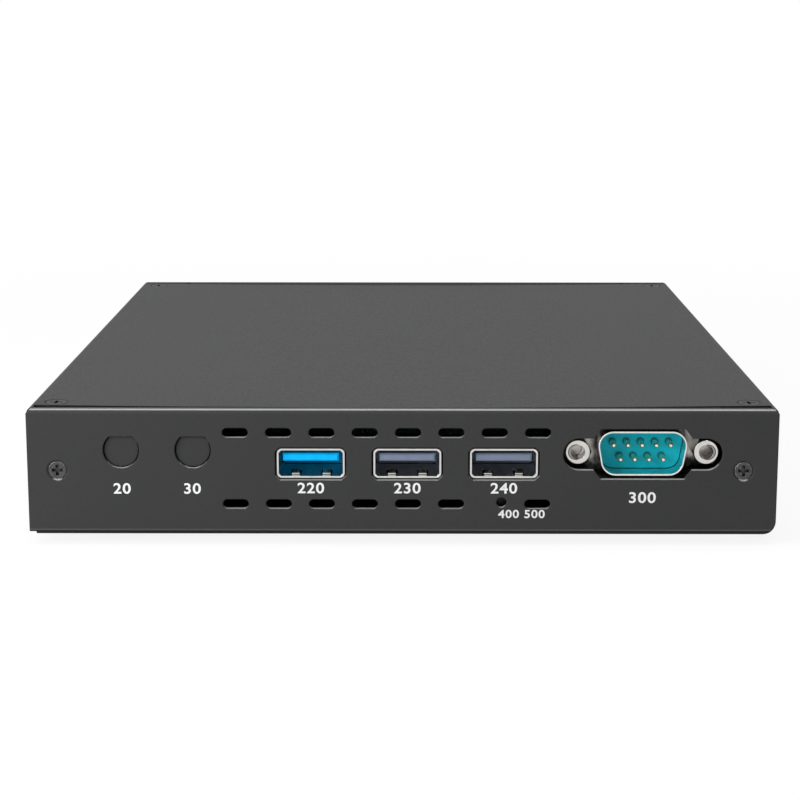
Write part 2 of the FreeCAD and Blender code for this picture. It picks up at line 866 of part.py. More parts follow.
def board_hole_places():
    x, y = board_half - s.board_hole_inset, board_end - s.board_hole_inset - s.sheet
    return [(side_x * x, side_y * y) for side_x, side_y in CORNERS]


def cover_screw_places():
    x, y = half_width - s.cover_screw_inset, s.body_depth / 2 - s.cover_screw_setback
    return [(side_x * x, side_y * y) for side_x, side_y in CORNERS]


def drill_floor(body):
    """Holes that the threaded inserts and the board's standoffs are pressed into."""
    sketch = sketch_on(body, "XY", under)
    for x, y in insert_places():
        circle(sketch, x, y, s.insert_shank_radius)
    for x, y in board_hole_places():
        circle(sketch, x, y, s.standoff_shank_radius)
    pocket(body, sketch, s.sheet, along=1)


def drill_screw_tabs(body):
    sketch = sketch_on(body, "XY", tab_top)
    for x, y in cover_screw_places():
        circle(sketch, x, y, s.cover_shank_radius + s.thread_clearance)
    pocket(body, sketch, s.sheet)


def sagging_line(sketch, left, right, level):
    """An arc between two points of one height that dips by the sag in its middle."""
    reach = number(right)
    sag = number(s.top_sag)
    radius = (reach**2 + sag**2) / (2 * sag)
    angle = math.degrees(math.asin(reach / radius))
    return arc_about(0, number(level) - sag + radius, radius, 270 - angle, 270 + angle)


def top_cover():
    """One folded sheet: the top with its slight sag, two sides and four inner tabs."""
    body = new_body("top_cover")
    section = wall_sketch(body, 0)
    inner = half_width - s.sheet
    foot, ceiling = under + s.skirt_rise, top - s.sheet
    points = [(half_width, top), (half_width, foot), (inner, foot), (inner, ceiling)]
    points += [(-inner, ceiling), (-inner, foot), (-half_width, foot), (-half_width, top)]
    corners = [Vector(number(x), number(y), 0) for x, y in points]
    pieces = [Part.LineSegment(a, b) for a, b in zip(corners, corners[1:])]
    pieces[3] = sagging_line(section, -inner, inner, ceiling)
    pieces.append(sagging_line(section, -half_width, half_width, top))
    section.addGeometry(pieces, False)
    # Both arcs run from left to right, so they meet their neighbours end to start.
    meets = [(0, 2, 1, 1), (1, 2, 2, 1), (2, 2, 3, 2), (3, 1, 4, 1), (4, 2, 5, 1)]
    meets += [(5, 2, 6, 1), (6, 2, 7, 1), (7, 2, 0, 1)]
    section.addConstraint([Sketcher.Constraint("Coincident", *pair) for pair in meets])
    for item, place in ((0, 0), (1, 1), (2, 2), (4, 4), (5, 5), (6, 6)):
        fix_point(section, item, 1, *points[place])
    fix_point(section, 2, 2, *points[3])
    fix_point(section, 6, 2, *points[7])
    for item, reach in ((3, inner), (7, half_width)):
        radius = (reach * reach + s.top_sag * s.top_sag) / (2 * s.top_sag)
        fix_radius(section, item, radius)
    pad_both_ways(body, section, 2 * skirt_end)

    def on_fold(edge, x, z):
        spot = middle(edge)
        return runs_along(edge, 1) and near(abs(spot.x), x) and near(spot.z, z)

    round_edges(body, bend_outside, lambda edge: on_fold(edge, half_width, top))
    round_edges(body, s.bend_inside, lambda edge: on_fold(edge, inner, ceiling))

    def on_skirt_corner(edge):
        spot = middle(edge)
        return runs_along(edge, 0) and near(abs(spot.y), skirt_end) and near(spot.z, foot)

    round_edges(body, s.skirt_corner, on_skirt_corner)
    # The top stops short of the walls, which leaves the seams.
    ends = sketch_on(body, "XY", top + s.sheet)
    for side_y in (-1, 1):
        depth = 2 * (skirt_end - cover_edge)
        rectangle(ends, 0, side_y * skirt_end, 2 * (half_width - bend_outside), depth)
    pocket(body, ends, 3 * s.sheet)
    tabs = wall_sketch(body, -skirt_end)
    rise = s.side_tab_high - s.side_tab_low
    middle_x = half_width - s.sheet / 2 - s.side_tab_width / 2
    middle_z = under + (s.side_tab_high + s.side_tab_low) / 2
    for side in (-1, 1):
        rectangle(tabs, side * middle_x, middle_z, s.side_tab_width, rise)
    pad(body, tabs, s.sheet)
    rear_tabs = wall_sketch(body, skirt_end)
    for side in (-1, 1):
        rectangle(rear_tabs, side * middle_x, middle_z, s.side_tab_width, rise)
    pad(body, rear_tabs, s.sheet, along=1)
    for side_y in (-1, 1):
        threads = wall_sketch(body, side_y * skirt_end)
        for x, _, z in wall_screw_places(side_y):
            circle(threads, x, z, s.wall_shank_radius + s.thread_clearance)
        pocket(body, threads, s.sheet, along=side_y)
    seats = sketch_on(body, "XY", top)
    for x, y in cover_screw_places():
        circle(seats, x, y, s.cover_shank_radius + s.shank_clearance)
    head = s.cover_head_radius + s.seat_margin
    shank = s.cover_shank_radius + s.shank_clearance
    countersunk_holes(body, seats, -1, 2 * s.sheet, shank, head)
    return body


# ---------------------------------------------------------------- fasteners and feet


def cross_recess(x, y, z, radius, along):
    """Two crossed slots sunk into a screw's head; along is the axis that the screw runs along."""
    width, depth = s.driver_slot_width, s.driver_slot_depth
    span = radius * 1.15
    if along == "z":
        first = centred_box(x, y, z - depth, span, width, 2 * depth)
        second = centred_box(x, y, z - depth, width, span, 2 * depth)
    else:
        first = box(x - span / 2, y - depth, z - width / 2, span, 2 * depth, width)
        second = box(x - width / 2, y - depth, z - span / 2, width, 2 * depth, span)
    return [first, second]


def wall_screws():
    screws = []
    head, shank = s.wall_head_radius, s.wall_shank_radius
    for side_y, way in ((-1, "in"), (1, "out")):
        for x, wall_y, z in wall_screw_places(side_y):
            y = wall_y - side_y * s.head_recess
            neck = y - side_y * (head - shank)
            parts = [cone(x, y, z, head, shank, head - shank, way)]
            parts.append(rod(x, neck, z, shank, s.wall_screw_length - head + shank, way))
            rounded = bevelled(fused(parts), s.head_bevel, rim_at(y, "y"))
            screws.append(cut(rounded, cross_recess(x, y, z, head, "y")))
    return keep(group(screws), "wall_screws")


def cover_screws():
    screws = []
    head, shank = s.cover_head_radius, s.cover_shank_radius
    z = top - s.head_recess
    neck = z - (head - shank)
    shank_length = s.cover_screw_length - head + shank
    for x, y in cover_screw_places():
        parts = [cone(x, y, neck, shank, head, head - shank)]
        parts.append(rod(x, y, neck - shank_length, shank, shank_length))
        rounded = bevelled(fused(parts), s.head_bevel, rim_at(z))
        screws.append(cut(rounded, cross_recess(x, y, z, head, "z")))
    return keep(group(screws), "cover_screws")


def rubber_feet():
    feet = []
    for side_x, side_y in CORNERS:
        x, y = side_x * (half_width - s.foot_inset), side_y * (s.body_depth / 2 - s.foot_inset)
        base = cone(x, y, 0, s.foot_radius - s.foot_bevel, s.foot_radius, s.foot_bevel)
        feet.append(fused([base, rod(x, y, s.foot_bevel, s.foot_radius, under - s.foot_bevel)]))
    return keep(group(feet), "rubber_feet")


def mounting_inserts():
    """Threaded inserts pressed into the floor, open at both ends."""
    inserts = []
    rise = s.sheet + s.insert_collar_rise
    for x, y in insert_places():
        shank = rod(x, y, under, s.insert_shank_radius, s.sheet)
        collar = rod(x, y, floor_top, s.insert_collar_radius, s.insert_collar_rise)
        inserts.append(cut(fused([shank, collar]), [rod(x, y, under, s.insert_thread_radius, rise)]))
    return keep(group(inserts), "mounting_inserts")


def board_standoffs():
    posts = []
    for x, y in board_hole_places():
        shank = rod(x, y, under, s.standoff_shank_radius, s.sheet)
        post = rod(x, y, floor_top, s.standoff_radius, board_under - floor_top)
        bore = rod(x, y, floor_top, s.board_thread_radius, board_under - floor_top)
        posts.append(cut(fused([shank, post]), [bore]))
    return keep(group(posts), "board_standoffs")


def board_screws():
    screws = []
    radius = s.board_thread_radius - s.thread_clearance
    for x, y in board_hole_places():
        shank = rod(x, y, board_top - s.board_screw_length, radius, s.board_screw_length)
        head = rod(x, y, board_top, s.board_screw_head_radius, s.board_screw_head_rise)
        rounded = bevelled(head, s.board_screw_bevel, rim_at(board_top + s.board_screw_head_rise))
        recess = cross_recess(x, y, board_top + s.board_screw_head_rise, s.board_screw_head_radius, "z")
        screws.append(cut(fused([shank, rounded]), recess))
    return keep(group(screws), "board_screws")


# ---------------------------------------------------------------- the mainboard


def mainboard():
    plate = box(-board_half, -board_end, board_under, 2 * board_half, 2 * board_end, s.board_thickness)
    holes = [rod(x, y, board_under, s.board_thread_radius + s.shank_clearance, s.board_thickness)
             for x, y in board_hole_places()]
    return keep(cut(plate, holes), "mainboard")


def soldered_chips():
    """The larger flat packages beside the processor."""
    places = [(-22, 56, 9, 9), (22, 48, 12, 12), (-48, -46, 10, 10), (24, -62, 14, 8), (-14, -64, 6, 6)]
    chips = [centred_box(x, y, board_top, width, depth, s.chip_rise) for x, y, width, depth in places]
    return keep(group(chips), "soldered_chips")


def chokes():
    coils = []
    for i in range(4):
        y = s.choke_y + s.choke_pitch * i
        block = centred_box(s.choke_x, y, board_top, s.choke_width, s.choke_width, s.choke_rise)
        upright = lambda edge: runs_along(edge, 2)
        coils.append(bevelled(block, s.choke_bevel, upright))
    return keep(group(coils), "chokes")


def capacitors():
    cans = []
    for i in range(4):
        y = s.choke_y + s.choke_pitch * i
        can = rod(s.capacitor_x, y, board_top, s.capacitor_radius, s.capacitor_rise)
        cans.append(bevelled(can, s.capacitor_bevel, rim_at(board_top + s.capacitor_rise)))
    return keep(group(cans), "capacitors")


def coin_cell():
    base = board_top + s.cell_holder_floor
    inner = s.cell_radius + s.cell_clearance
    wall = rod(s.cell_x, s.cell_y, board_top, inner + s.cell_holder_wall, s.cell_rise)
    well = rod(s.cell_x, s.cell_y, base, inner, s.cell_rise)
    keep(cut(wall, [well]), "cell_holder")
    cell = rod(s.cell_x, s.cell_y, base, s.cell_radius, s.cell_rise)
    rims = bevelled(cell, s.cell_bevel, rim_at(base + s.cell_rise))
    return keep(rims, "coin_cell")


def heat_path():
    """The processor, its paste, the aluminium spreader and the pad under the cover."""
    x, y = s.processor_x, s.processor_y
    carrier = s.processor_rise / 2
    base = centred_box(x, y, board_top, s.processor_width, s.processor_depth, carrier)
    lid_width, lid_depth = s.processor_width * 0.7, s.processor_depth * 0.7
    lid = centred_box(x, y, board_top + carrier, lid_width, lid_depth, carrier)
    keep(fused([base, lid]), "processor")
    paste_base = board_top + s.processor_rise
    keep(centred_box(x, y, paste_base, lid_width, lid_depth, s.paste_rise), "thermal_paste")
    plate_base = paste_base + s.paste_rise
    plate_top = plate_base + s.spreader_base
    plate = centred_box(x, y, plate_base, s.spreader_width, s.spreader_depth, s.spreader_base)
    pad_base = ceiling_low - s.pad_clearance - s.pad_rise
    block_size = s.spreader_block_width, s.spreader_block_depth
    block = centred_box(x, y, plate_top, *block_size, pad_base - plate_top)
    reach_x = s.spreader_width / 2 - s.spreader_screw_inset
    reach_y = s.spreader_depth / 2 - s.spreader_screw_inset
    places = [(x + side_x * reach_x, y + side_y * reach_y) for side_x, side_y in CORNERS]
    posts = [rod(*place, board_top, s.spreader_post_radius, plate_base - board_top) for place in places]
    bores = [rod(*place, board_top, s.spreader_thread_radius, plate_top - board_top) for place in places]
    keep(cut(fused([plate, block, *posts]), bores), "heat_spreader")
    keep(centred_box(x, y, pad_base, *block_size, s.pad_rise), "thermal_pad")
    screws = []
    for place in places:
        shank_radius = s.spreader_thread_radius - s.thread_clearance
        shank = rod(*place, board_top, shank_radius, plate_top - board_top)
        head = rod(*place, plate_top, s.spreader_head_radius, s.spreader_head_rise)
        recess = cross_recess(*place, plate_top + s.spreader_head_rise, s.spreader_head_radius, "z")
        screws.append(cut(fused([shank, head]), recess))
    return keep(group(screws), "spreader_screws")


def memory():
    """A module that lies flat in a socket with two sprung arms."""
    x, y, z = s.memory_x, s.memory_y, board_top + s.memory_lift
    rear_edge = y + s.memory_depth / 2
    low = rear_edge - s.memory_engagement
    sheet = centred_box(x, y, z, s.memory_width, s.memory_depth, s.memory_sheet)
    pitch = s.memory_width / 4
    chip_y = y - s.memory_engagement / 2
    size = pitch * 0.7, s.memory_depth * 0.5, s.chip_rise
    chips = [centred_box(x + pitch * (i - 1.5), chip_y, z + s.memory_sheet, *size) for i in range(4)]
    keep(fused([sheet, *chips]), "memory_module")
    half = s.memory_width / 2 + s.memory_side_gap + s.memory_arm
    block = box(x - half, low, board_top, 2 * half, s.memory_socket_depth, s.memory_socket_rise)
    arm_length = s.memory_depth * 0.8
    arm_size = s.memory_arm, arm_length, s.memory_lift + s.memory_sheet
    arms = [box(x - half, low - arm_length, board_top, *arm_size)]
    arms.append(box(x + half - arm_size[0], low - arm_length, board_top, *arm_size))
    gap = s.shank_clearance
    slot_size = s.memory_width + 2 * gap, s.memory_engagement + gap, s.memory_sheet + gap
    slot = box(x - slot_size[0] / 2, low, z, *slot_size)
    return keep(cut(fused([block, *arms]), [slot]), "memory_socket")


def drive():
    """A narrow drive card, held by a socket at one end and a screw at the other."""
    x, y, z = s.drive_x, s.drive_y, board_top + s.drive_lift
    front_edge, rear_edge = y - s.drive_length / 2, y + s.drive_length / 2
    card = centred_box(x, y, z, s.drive_width, s.drive_length, s.drive_sheet)
    top_face = z + s.drive_sheet
    chips = [centred_box(x, y + offset, top_face, 14, 18, s.chip_rise) for offset in (-14, 14)]
    notch = rod(x, rear_edge, z, s.drive_screw_radius + s.shank_clearance, s.drive_sheet)
    keep(cut(fused([card, *chips]), [notch]), "drive_card")
    socket_front = front_edge + s.drive_engagement - s.drive_socket_depth
    width = s.drive_width
    block = box(x - width / 2, socket_front, board_top, width, s.drive_socket_depth, s.drive_socket_rise)
    gap = s.shank_clearance
    slot = box(x - width / 2, front_edge - gap, z, width, s.drive_socket_depth, s.drive_sheet + gap)
    keep(cut(block, [slot]), "drive_socket")
    post = rod(x, rear_edge, board_top, s.drive_post_radius, s.drive_lift)
    bore = rod(x, rear_edge, board_top, s.drive_screw_radius, s.drive_lift)
    keep(cut(post, [bore]), "drive_post")
    radius = s.drive_screw_radius - s.thread_clearance
    shank = rod(x, rear_edge, board_top, radius, s.drive_lift + s.drive_sheet)
    head = rod(x, rear_edge, top_face, s.drive_head_radius, s.drive_head_rise)
    recess = cross_recess(x, rear_edge, top_face + s.drive_head_rise, s.drive_head_radius, "z")
    return keep(cut(fused([shank, head]), recess), "drive_screw")


# ---------------------------------------------------------------- sockets on the front


def usb_socket(name, x):
    """A sprung steel shell, the moulding with its tongue, and four contacts."""
    z = under + s.usb_height
    width, rise = s.usb_mouth_width + 2 * s.usb_wall, s.usb_mouth_rise + 2 * s.usb_wall
    face = front + s.usb_recess
    shell = new_body(f"{name}_shell")
    outline = wall_sketch(shell, face)
    rectangle(outline, x, z, width, rise)
    pad(shell, outline, s.usb_depth)
    flare = wall_sketch(shell, face)
    rectangle(flare, x, z, s.usb_mouth_width + 2 * s.usb_flare, s.usb_mouth_rise + 2 * s.usb_flare)
    pad(shell, flare, s.usb_wall)
    round_edges(shell, s.usb_corner, lambda edge: runs_along(edge, 1))
    mouth = wall_sketch(shell, face)
    rectangle(mouth, x, z, s.usb_mouth_width, s.usb_mouth_rise, s.usb_corner / 2)
    pocket(shell, mouth, s.usb_depth - s.usb_wall)
    low = z - rise / 2
    for leg_y in (face + s.usb_depth * 0.3, face + s.usb_depth * 0.75):
        legs = wall_sketch(shell, leg_y)
        for side in (-1, 1):
            leg_x = x + side * (width - s.usb_wall) / 2
            leg_rise = low + 2 * s.usb_corner - board_top
            rectangle(legs, leg_x, board_top + leg_rise / 2, s.usb_wall, leg_rise)
        pad(shell, legs, s.usb_leg_length)
    add_usb_springs(shell, x, face, low)
    tongue_top = z + s.usb_mouth_rise / 2 - s.usb_tongue_gap
    tongue_low = tongue_top - s.usb_tongue_rise
    tip, back = face + s.usb_tongue_recess, face + s.usb_depth - s.usb_back
    length = back - tip
    tongue_size = s.usb_tongue_width, length, s.usb_tongue_rise
    tongue = box(x - s.usb_tongue_width / 2, tip, tongue_low, *tongue_size)
    at_tip = lambda edge: near(middle(edge).y, tip) and not runs_along(edge, 1)
    shaped = bevelled(tongue, s.usb_tongue_bevel, at_tip)
    gap = s.shank_clearance
    block_size = s.usb_mouth_width - 2 * gap, s.usb_back - s.usb_wall - gap, s.usb_mouth_rise - 2 * gap
    block = box(x - block_size[0] / 2, back, z - block_size[2] / 2, *block_size)
    corners = bevelled(block, s.usb_corner / 2, lambda edge: runs_along(edge, 1))
    keep(fused([shaped, corners]), f"{name}_tongue")
    strips = []
    for i in range(4):
        strip_x = x + s.usb_contact_pitch * (i - 1.5) - s.usb_contact_width / 2
        size = s.usb_contact_width, length - s.usb_contact_setback, s.usb_contact_rise
        strips.append(box(strip_x, tip + s.usb_contact_setback, tongue_low - s.usb_contact_rise, *size))
    return keep(group(strips), f"{name}_contacts")


def add_usb_springs(shell, x, face, low):
    """Two fingers cut from the shell's floor and bent up into the mouth."""
    slots = sketch_on(shell, "XY", low)
    slot_middle = face + s.usb_spring_setback + s.usb_spring_length / 2
    for side in (-1, 1):
        slot_width = s.usb_spring_width + 2 * s.usb_wall
        rectangle(slots, x + side * s.usb_spring_offset, slot_middle, slot_width, s.usb_spring_length)
    pocket(shell, slots, s.usb_wall, along=1)
    wall, bulge = s.usb_wall, s.usb_spring_bulge
    tip = face + s.usb_spring_setback + wall
    root = face + s.usb_spring_setback + s.usb_spring_length
    crest = tip + s.usb_spring_length * 0.35
    lower = [(tip, low + wall), (crest, low + bulge), (root, low), (root + wall, low)]
    upper = [(root + wall, low + wall), (root, low + wall)]
    upper += [(crest, low + bulge + wall), (tip, low + 2 * wall)]
    for side in (-1, 1):
        finger = sketch_on(shell, "YZ", x + side * s.usb_spring_offset)
        polygon(finger, lower + upper)
        pad_both_ways(shell, finger, s.usb_spring_width)


def near_corners(edge, corners):
    """Whether an edge along Y stands at one of the corners, given in X and Z."""
    spot = middle(edge)
    return runs_along(edge, 1) and any(near(spot.x, x) and near(spot.z, z) for x, z in corners)


def serial_port():
    """A nine-pin plug: drawn shell on a flange, moulding, pins, jacks and brackets."""
    x, z = s.serial_x, under + s.serial_height
    mouth = front + s.serial_shell_recess
    shell = new_body("serial_shell")
    flange = wall_sketch(shell, flange_front)
    rectangle(flange, x, z, s.serial_flange_width, s.serial_flange_rise, s.serial_flange_sheet)
    pad(shell, flange, s.serial_flange_sheet)
    width, rise = s.serial_inner_width, s.serial_inner_rise
    wall, lean = s.serial_shell_wall, s.serial_side_angle
    outer_corners = hull_of_d(x, z, width + 2 * wall, rise + 2 * wall, lean)
    hood = wall_sketch(shell, mouth)
    polygon(hood, outer_corners)
    pad(shell, hood, s.serial_shell_length)
    inner_corners = hull_of_d(x, z, width, rise, lean)
    cavity = wall_sketch(shell, mouth)
    polygon(cavity, inner_corners)
    pocket(shell, cavity, s.serial_shell_length + s.serial_flange_sheet)
    round_edges(shell, s.serial_corner, lambda edge: near_corners(edge, inner_corners))
    round_edges(shell, s.serial_corner + wall, lambda edge: near_corners(edge, outer_corners))
    jack_xs = [x - s.jack_spacing / 2, x + s.jack_spacing / 2]
    holes = wall_sketch(shell, flange_front)
    for jack_x in jack_xs:
        circle(holes, jack_x, z, s.jack_stem_radius + s.shank_clearance)
    pocket(shell, holes, s.serial_flange_sheet)

    insert = new_body("serial_insert")
    gap = s.shank_clearance
    face = flange_front - s.serial_insert_rise
    plug_corners = hull_of_d(x, z, width - 2 * gap, rise - 2 * gap, lean)
    plug = wall_sketch(insert, face)
    polygon(plug, plug_corners)
    pad(insert, plug, flange_back - face)
    round_edges(insert, s.serial_corner - gap, lambda edge: near_corners(edge, plug_corners))
    housing = wall_sketch(insert, flange_back)
    housing_top = z + s.serial_housing_rise / 2
    housing_rise = housing_top - board_top
    rectangle(housing, x, board_top + housing_rise / 2, s.serial_housing_width, housing_rise)
    pad(insert, housing, s.serial_housing_depth)

    pins = []
    tip = mouth + s.serial_pin_recess
    for count, side in ((5, 1), (4, -1)):
        for i in range(count):
            pin_x = x + s.serial_pin_pitch * (i - (count - 1) / 2)
            pin_z = z + side * s.serial_row_pitch / 2
            radius = s.serial_pin_radius
            point = cone(pin_x, tip, pin_z, radius / 2, radius, radius, "in")
            stem = rod(pin_x, tip + radius, pin_z, radius, face - tip - radius, "in")
            pins.append(fused([point, stem]))
    keep(group(pins), "serial_pins")

    jacks, brackets = [], []
    for jack_x in jack_xs:
        jacks.append(jack(jack_x, z))
        size = s.bracket_width, s.bracket_depth, z + s.bracket_width / 2 - board_top
        block = box(jack_x - s.bracket_width / 2, flange_back, board_top, *size)
        bore = rod(jack_x, flange_back, z, s.jack_stem_radius, s.bracket_depth, "in")
        brackets.append(cut(block, [bore]))
    keep(group(jacks), "serial_jacks")
    return keep(group(brackets), "serial_brackets")


def jack(x, z):
    """A six-sided jackscrew with a chamfered face and a threaded bore."""
    face = flange_front - s.jack_rise
    corner_radius = s.jack_flats / math.sqrt(3)
    prism = turned("Part::Prism", x, face, z, "in", "Hexagon", Circumradius=corner_radius, Height=s.jack_rise)
    flat_radius = s.jack_flats / 2
    lead = (corner_radius - flat_radius) * 1.6
    envelope = fused([
        cone(x, face, z, flat_radius * 0.97, corner_radius, lead, "in"),
        rod(x, face + lead, z, corner_radius, s.jack_rise - lead, "in"),
    ])
    hexagon = doc.addObject("Part::Common", "Chamfered")
    hexagon.Base, hexagon.Tool = prism, envelope
    stem_radius = s.jack_stem_radius - s.thread_clearance
    stem = rod(x, flange_front, z, stem_radius, s.serial_flange_sheet + s.bracket_depth, "in")
    bore = rod(x, face, z, s.jack_thread_radius, s.jack_thread_depth, "in")
    return cut(fused([hexagon, stem]), [bore])


def reset_switch():
    """A push switch on the board's underside, reached through the pinhole."""
    x, z = s.pinhole_x, under + s.pinhole_height
    face = front + s.reset_setback
    low = z - s.reset_body_rise / 2
    size = s.reset_body_width, s.reset_body_depth, board_under - low
    block = box(x - s.reset_body_width / 2, face, low, *size)
    bore_depth = s.reset_body_depth * 0.6
    bore = rod(x, face, z, s.reset_plunger_radius + s.slide_clearance, bore_depth, "in")
    keep(cut(block, [bore]), "reset_switch")
    length = s.reset_plunger_reach + bore_depth - 2 * s.reset_travel
    tip = face - s.reset_plunger_reach
    return keep(rod(x, tip, z, s.reset_plunger_radius, length, "in"), "reset_plunger")


# ---------------------------------------------------------------- rear wall


def power_button():
    """A cap that slides in the rear wall, and the switch its stem presses."""
    x, z = s.power_x, under + s.power_height
    flange = rear - s.sheet - s.power_play
    inner = flange - s.power_flange_rise
    face = rear + s.power_cap_stand
    cap = rod(x, face, z, s.power_cap_radius, face - flange, "out")
    rim = lambda edge: edge.Curve.TypeId == "Part::GeomCircle" and near(middle(edge).y, face)
    rounded = bevelled(cap, s.power_bevel, rim)
    collar = rod(x, flange, z, s.power_flange_radius, s.power_flange_rise, "out")
    stem = rod(x, inner, z, s.power_stem_radius, s.power_stem_reach, "out")
    keep(fused([rounded, collar, stem]), "power_button")
    switch_face = inner - s.power_travel - s.power_play
    half = s.power_switch_width / 2
    size = s.power_switch_width, s.power_switch_depth, z + half - board_top
    block = box(x - half, switch_face - s.power_switch_depth, board_top, *size)
    bore_radius = s.power_stem_radius + s.slide_clearance
    bore = rod(x, switch_face, z, bore_radius, s.power_stem_reach, "out")
    return keep(cut(block, [bore]), "power_switch")


def lan_socket(name, x):
    """A shielded network socket with its latch notch downwards."""
    base = board_top
    wall = s.lan_shield
    width, depth, rise = s.lan_width, s.lan_depth, s.lan_rise
    floor = base + s.lan_mouth_floor
    latch_low = floor - s.lan_latch_rise

    def mouth(start, length, grow):
        grown = 2 * grow
        wide = box(x - s.lan_mouth_width / 2 - grow, start, floor - grow,
                   s.lan_mouth_width + grown, length, s.lan_mouth_rise + grown)
        latch = box(x - s.lan_latch_width / 2 - grow, start, latch_low - grow,
                    s.lan_latch_width + grown, length, s.lan_latch_rise + grown)
        return [wide, latch]

    def lights(start, length, grow):
        grown = 2 * grow
        low = floor + s.lan_mouth_rise + s.lan_light_margin
        size = s.lan_light_width + grown, length, s.lan_light_rise + grown
        reach = s.lan_mouth_width / 2 - s.lan_light_width / 2
        return [box(x + side * reach - size[0] / 2, start, low - grow, *size) for side in (-1, 1)]

    outer = box(x - width / 2, rear - depth, base, width, depth, rise)
    hollow_size = width - 2 * wall, depth - 2 * wall, rise - wall
    hollow = box(x - width / 2 + wall, rear - depth + wall, base, *hollow_size)
    windows = mouth(rear - wall, wall, wall) + lights(rear - wall, wall, s.shank_clearance)
    keep(cut(outer, [hollow, *windows]), f"{name}_shield")
    gap = s.shank_clearance
    block_size = width - 2 * (wall + gap), depth - 2 * (wall + gap), rise - wall - gap
    block = box(x - block_size[0] / 2, rear - depth + wall + gap, base, *block_size)
    face = rear - wall - gap
    cavity = mouth(face - s.lan_mouth_depth, s.lan_mouth_depth, 0)
    pockets = lights(face - s.lan_light_depth, s.lan_light_depth, 0)
    keep(cut(block, cavity + pockets), f"{name}_housing")
    return lights(face - s.lan_light_depth, s.lan_light_depth, 0), lan_contacts(x, floor, face)


def lan_contacts(x, floor, face):
    strips = []
    ceiling = floor + s.lan_mouth_rise
    for i in range(8):
        strip_x = x + s.lan_contact_pitch * (i - 3.5) - s.lan_contact_width / 2
        length = s.lan_mouth_depth * 0.75
        size = s.lan_contact_width, length, s.lan_contact_width
        strips.append(box(strip_x, face - s.lan_mouth_depth, ceiling - s.lan_contact_width, *size))
    return strips


def lan_sockets():
    lights, contacts = [], []
    for name, x in zip(("lan_left", "lan_right"), lan_xs):
        pair, strips = lan_socket(name, x)
        lights += pair
        contacts += strips
    keep(group(lights), "lan_lights")
    return keep(group(contacts), "lan_contacts")


def display_socket(name, x):
    """A display socket's shell with the moulded tongue across its mouth."""
    shell = new_body(f"{name}_shell")
    outline = wall_sketch(shell, rear)
    polygon(outline, display_outline(x, s.display_wall))
    pad(shell, outline, s.display_depth, along=1)
    mouth = wall_sketch(shell, rear)
    polygon(mouth, display_outline(x, 0))
    pocket(shell, mouth, s.display_depth - s.display_wall, along=1)
    low = display_middle - s.display_rise / 2 - s.display_wall
    for leg_y in (rear - s.display_depth * 0.2, rear - s.display_depth * 0.7):
        legs = wall_sketch(shell, leg_y)
        for side in (-1, 1):
            leg_x = x + side * (s.display_width / 2 + s.display_wall / 2)
            leg_rise = low + s.display_notch + 2 * s.display_wall - board_top
            rectangle(legs, leg_x, board_top + leg_rise / 2, s.display_wall, leg_rise)
        pad(shell, legs, s.display_leg_length, along=1)
    back = rear - s.display_depth + s.display_wall
    gap = s.shank_clearance
    block_size = s.display_width - 2 * (s.display_notch + gap), s.display_back, s.display_rise - 2 * gap
    block = box(x - block_size[0] / 2, back, display_middle - block_size[2] / 2, *block_size)
    length = s.display_depth - s.display_wall - s.display_back - s.display_tongue_recess
    tongue_size = s.display_tongue_width, length, s.display_tongue_rise
    tongue = box(x - s.display_tongue_width / 2, back + s.display_back,
                 display_middle - s.display_tongue_rise / 2, *tongue_size)
    return keep(fused([block, tongue]), f"{name}_tongue")


def supply_jack():
    x, z = s.supply_x, board_top + s.supply_axis_lift
    size = s.supply_width, s.supply_depth, s.supply_rise
    block = box(x - s.supply_width / 2, rear - s.supply_depth, board_top, *size)
    bore = rod(x, rear, z, s.supply_bore_radius, s.supply_bore_depth, "out")
    keep(cut(block, [bore]), "supply_jack")
    length = s.supply_bore_depth - s.supply_pin_recess
    pin = rod(x, rear - s.supply_pin_recess, z, s.supply_pin_radius, length, "out")
    face = rear - s.supply_pin_recess
    rim = lambda edge: edge.Curve.TypeId == "Part::GeomCircle" and near(middle(edge).y, face)
    return keep(bevelled(pin, s.supply_pin_radius / 3, rim), "supply_pin")


# ---------------------------------------------------------------- build, check and write

base_chassis()
top_cover()
cover_screws()
wall_screws()
rubber_feet()
mounting_inserts()
board_standoffs()
board_screws()
mainboard()
soldered_chips()
chokes()
capacitors()
coin_cell()
heat_path()
memory()
drive()
for usb_name, usb_x in zip(("usb_left", "usb_middle", "usb_right"), usb_xs):
    usb_socket(usb_name, usb_x)
serial_port()
reset_switch()
power_button()
lan_sockets()
for display_name, display_x in zip(("display_left", "display_right"), display_xs):
    display_socket(display_name, display_x)
supply_jack()
doc.recompute()

for item in doc.Objects:
    if "Invalid" in item.State or "Error" in item.State:
        raise RuntimeError(f"{item.Label} failed: {item.State}")
for node in nodes:
    if node.Shape.isNull() or not node.Shape.isValid() or not node.Shape.Solids:
        raise RuntimeError(f"{node.Label} has no valid solid")

os.makedirs("parts", exist_ok=True)
for node in nodes:
    node.Shape.exportStep(f"parts/{node.Label}.step")
print(len(nodes), "sub-parts written")
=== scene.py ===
import math

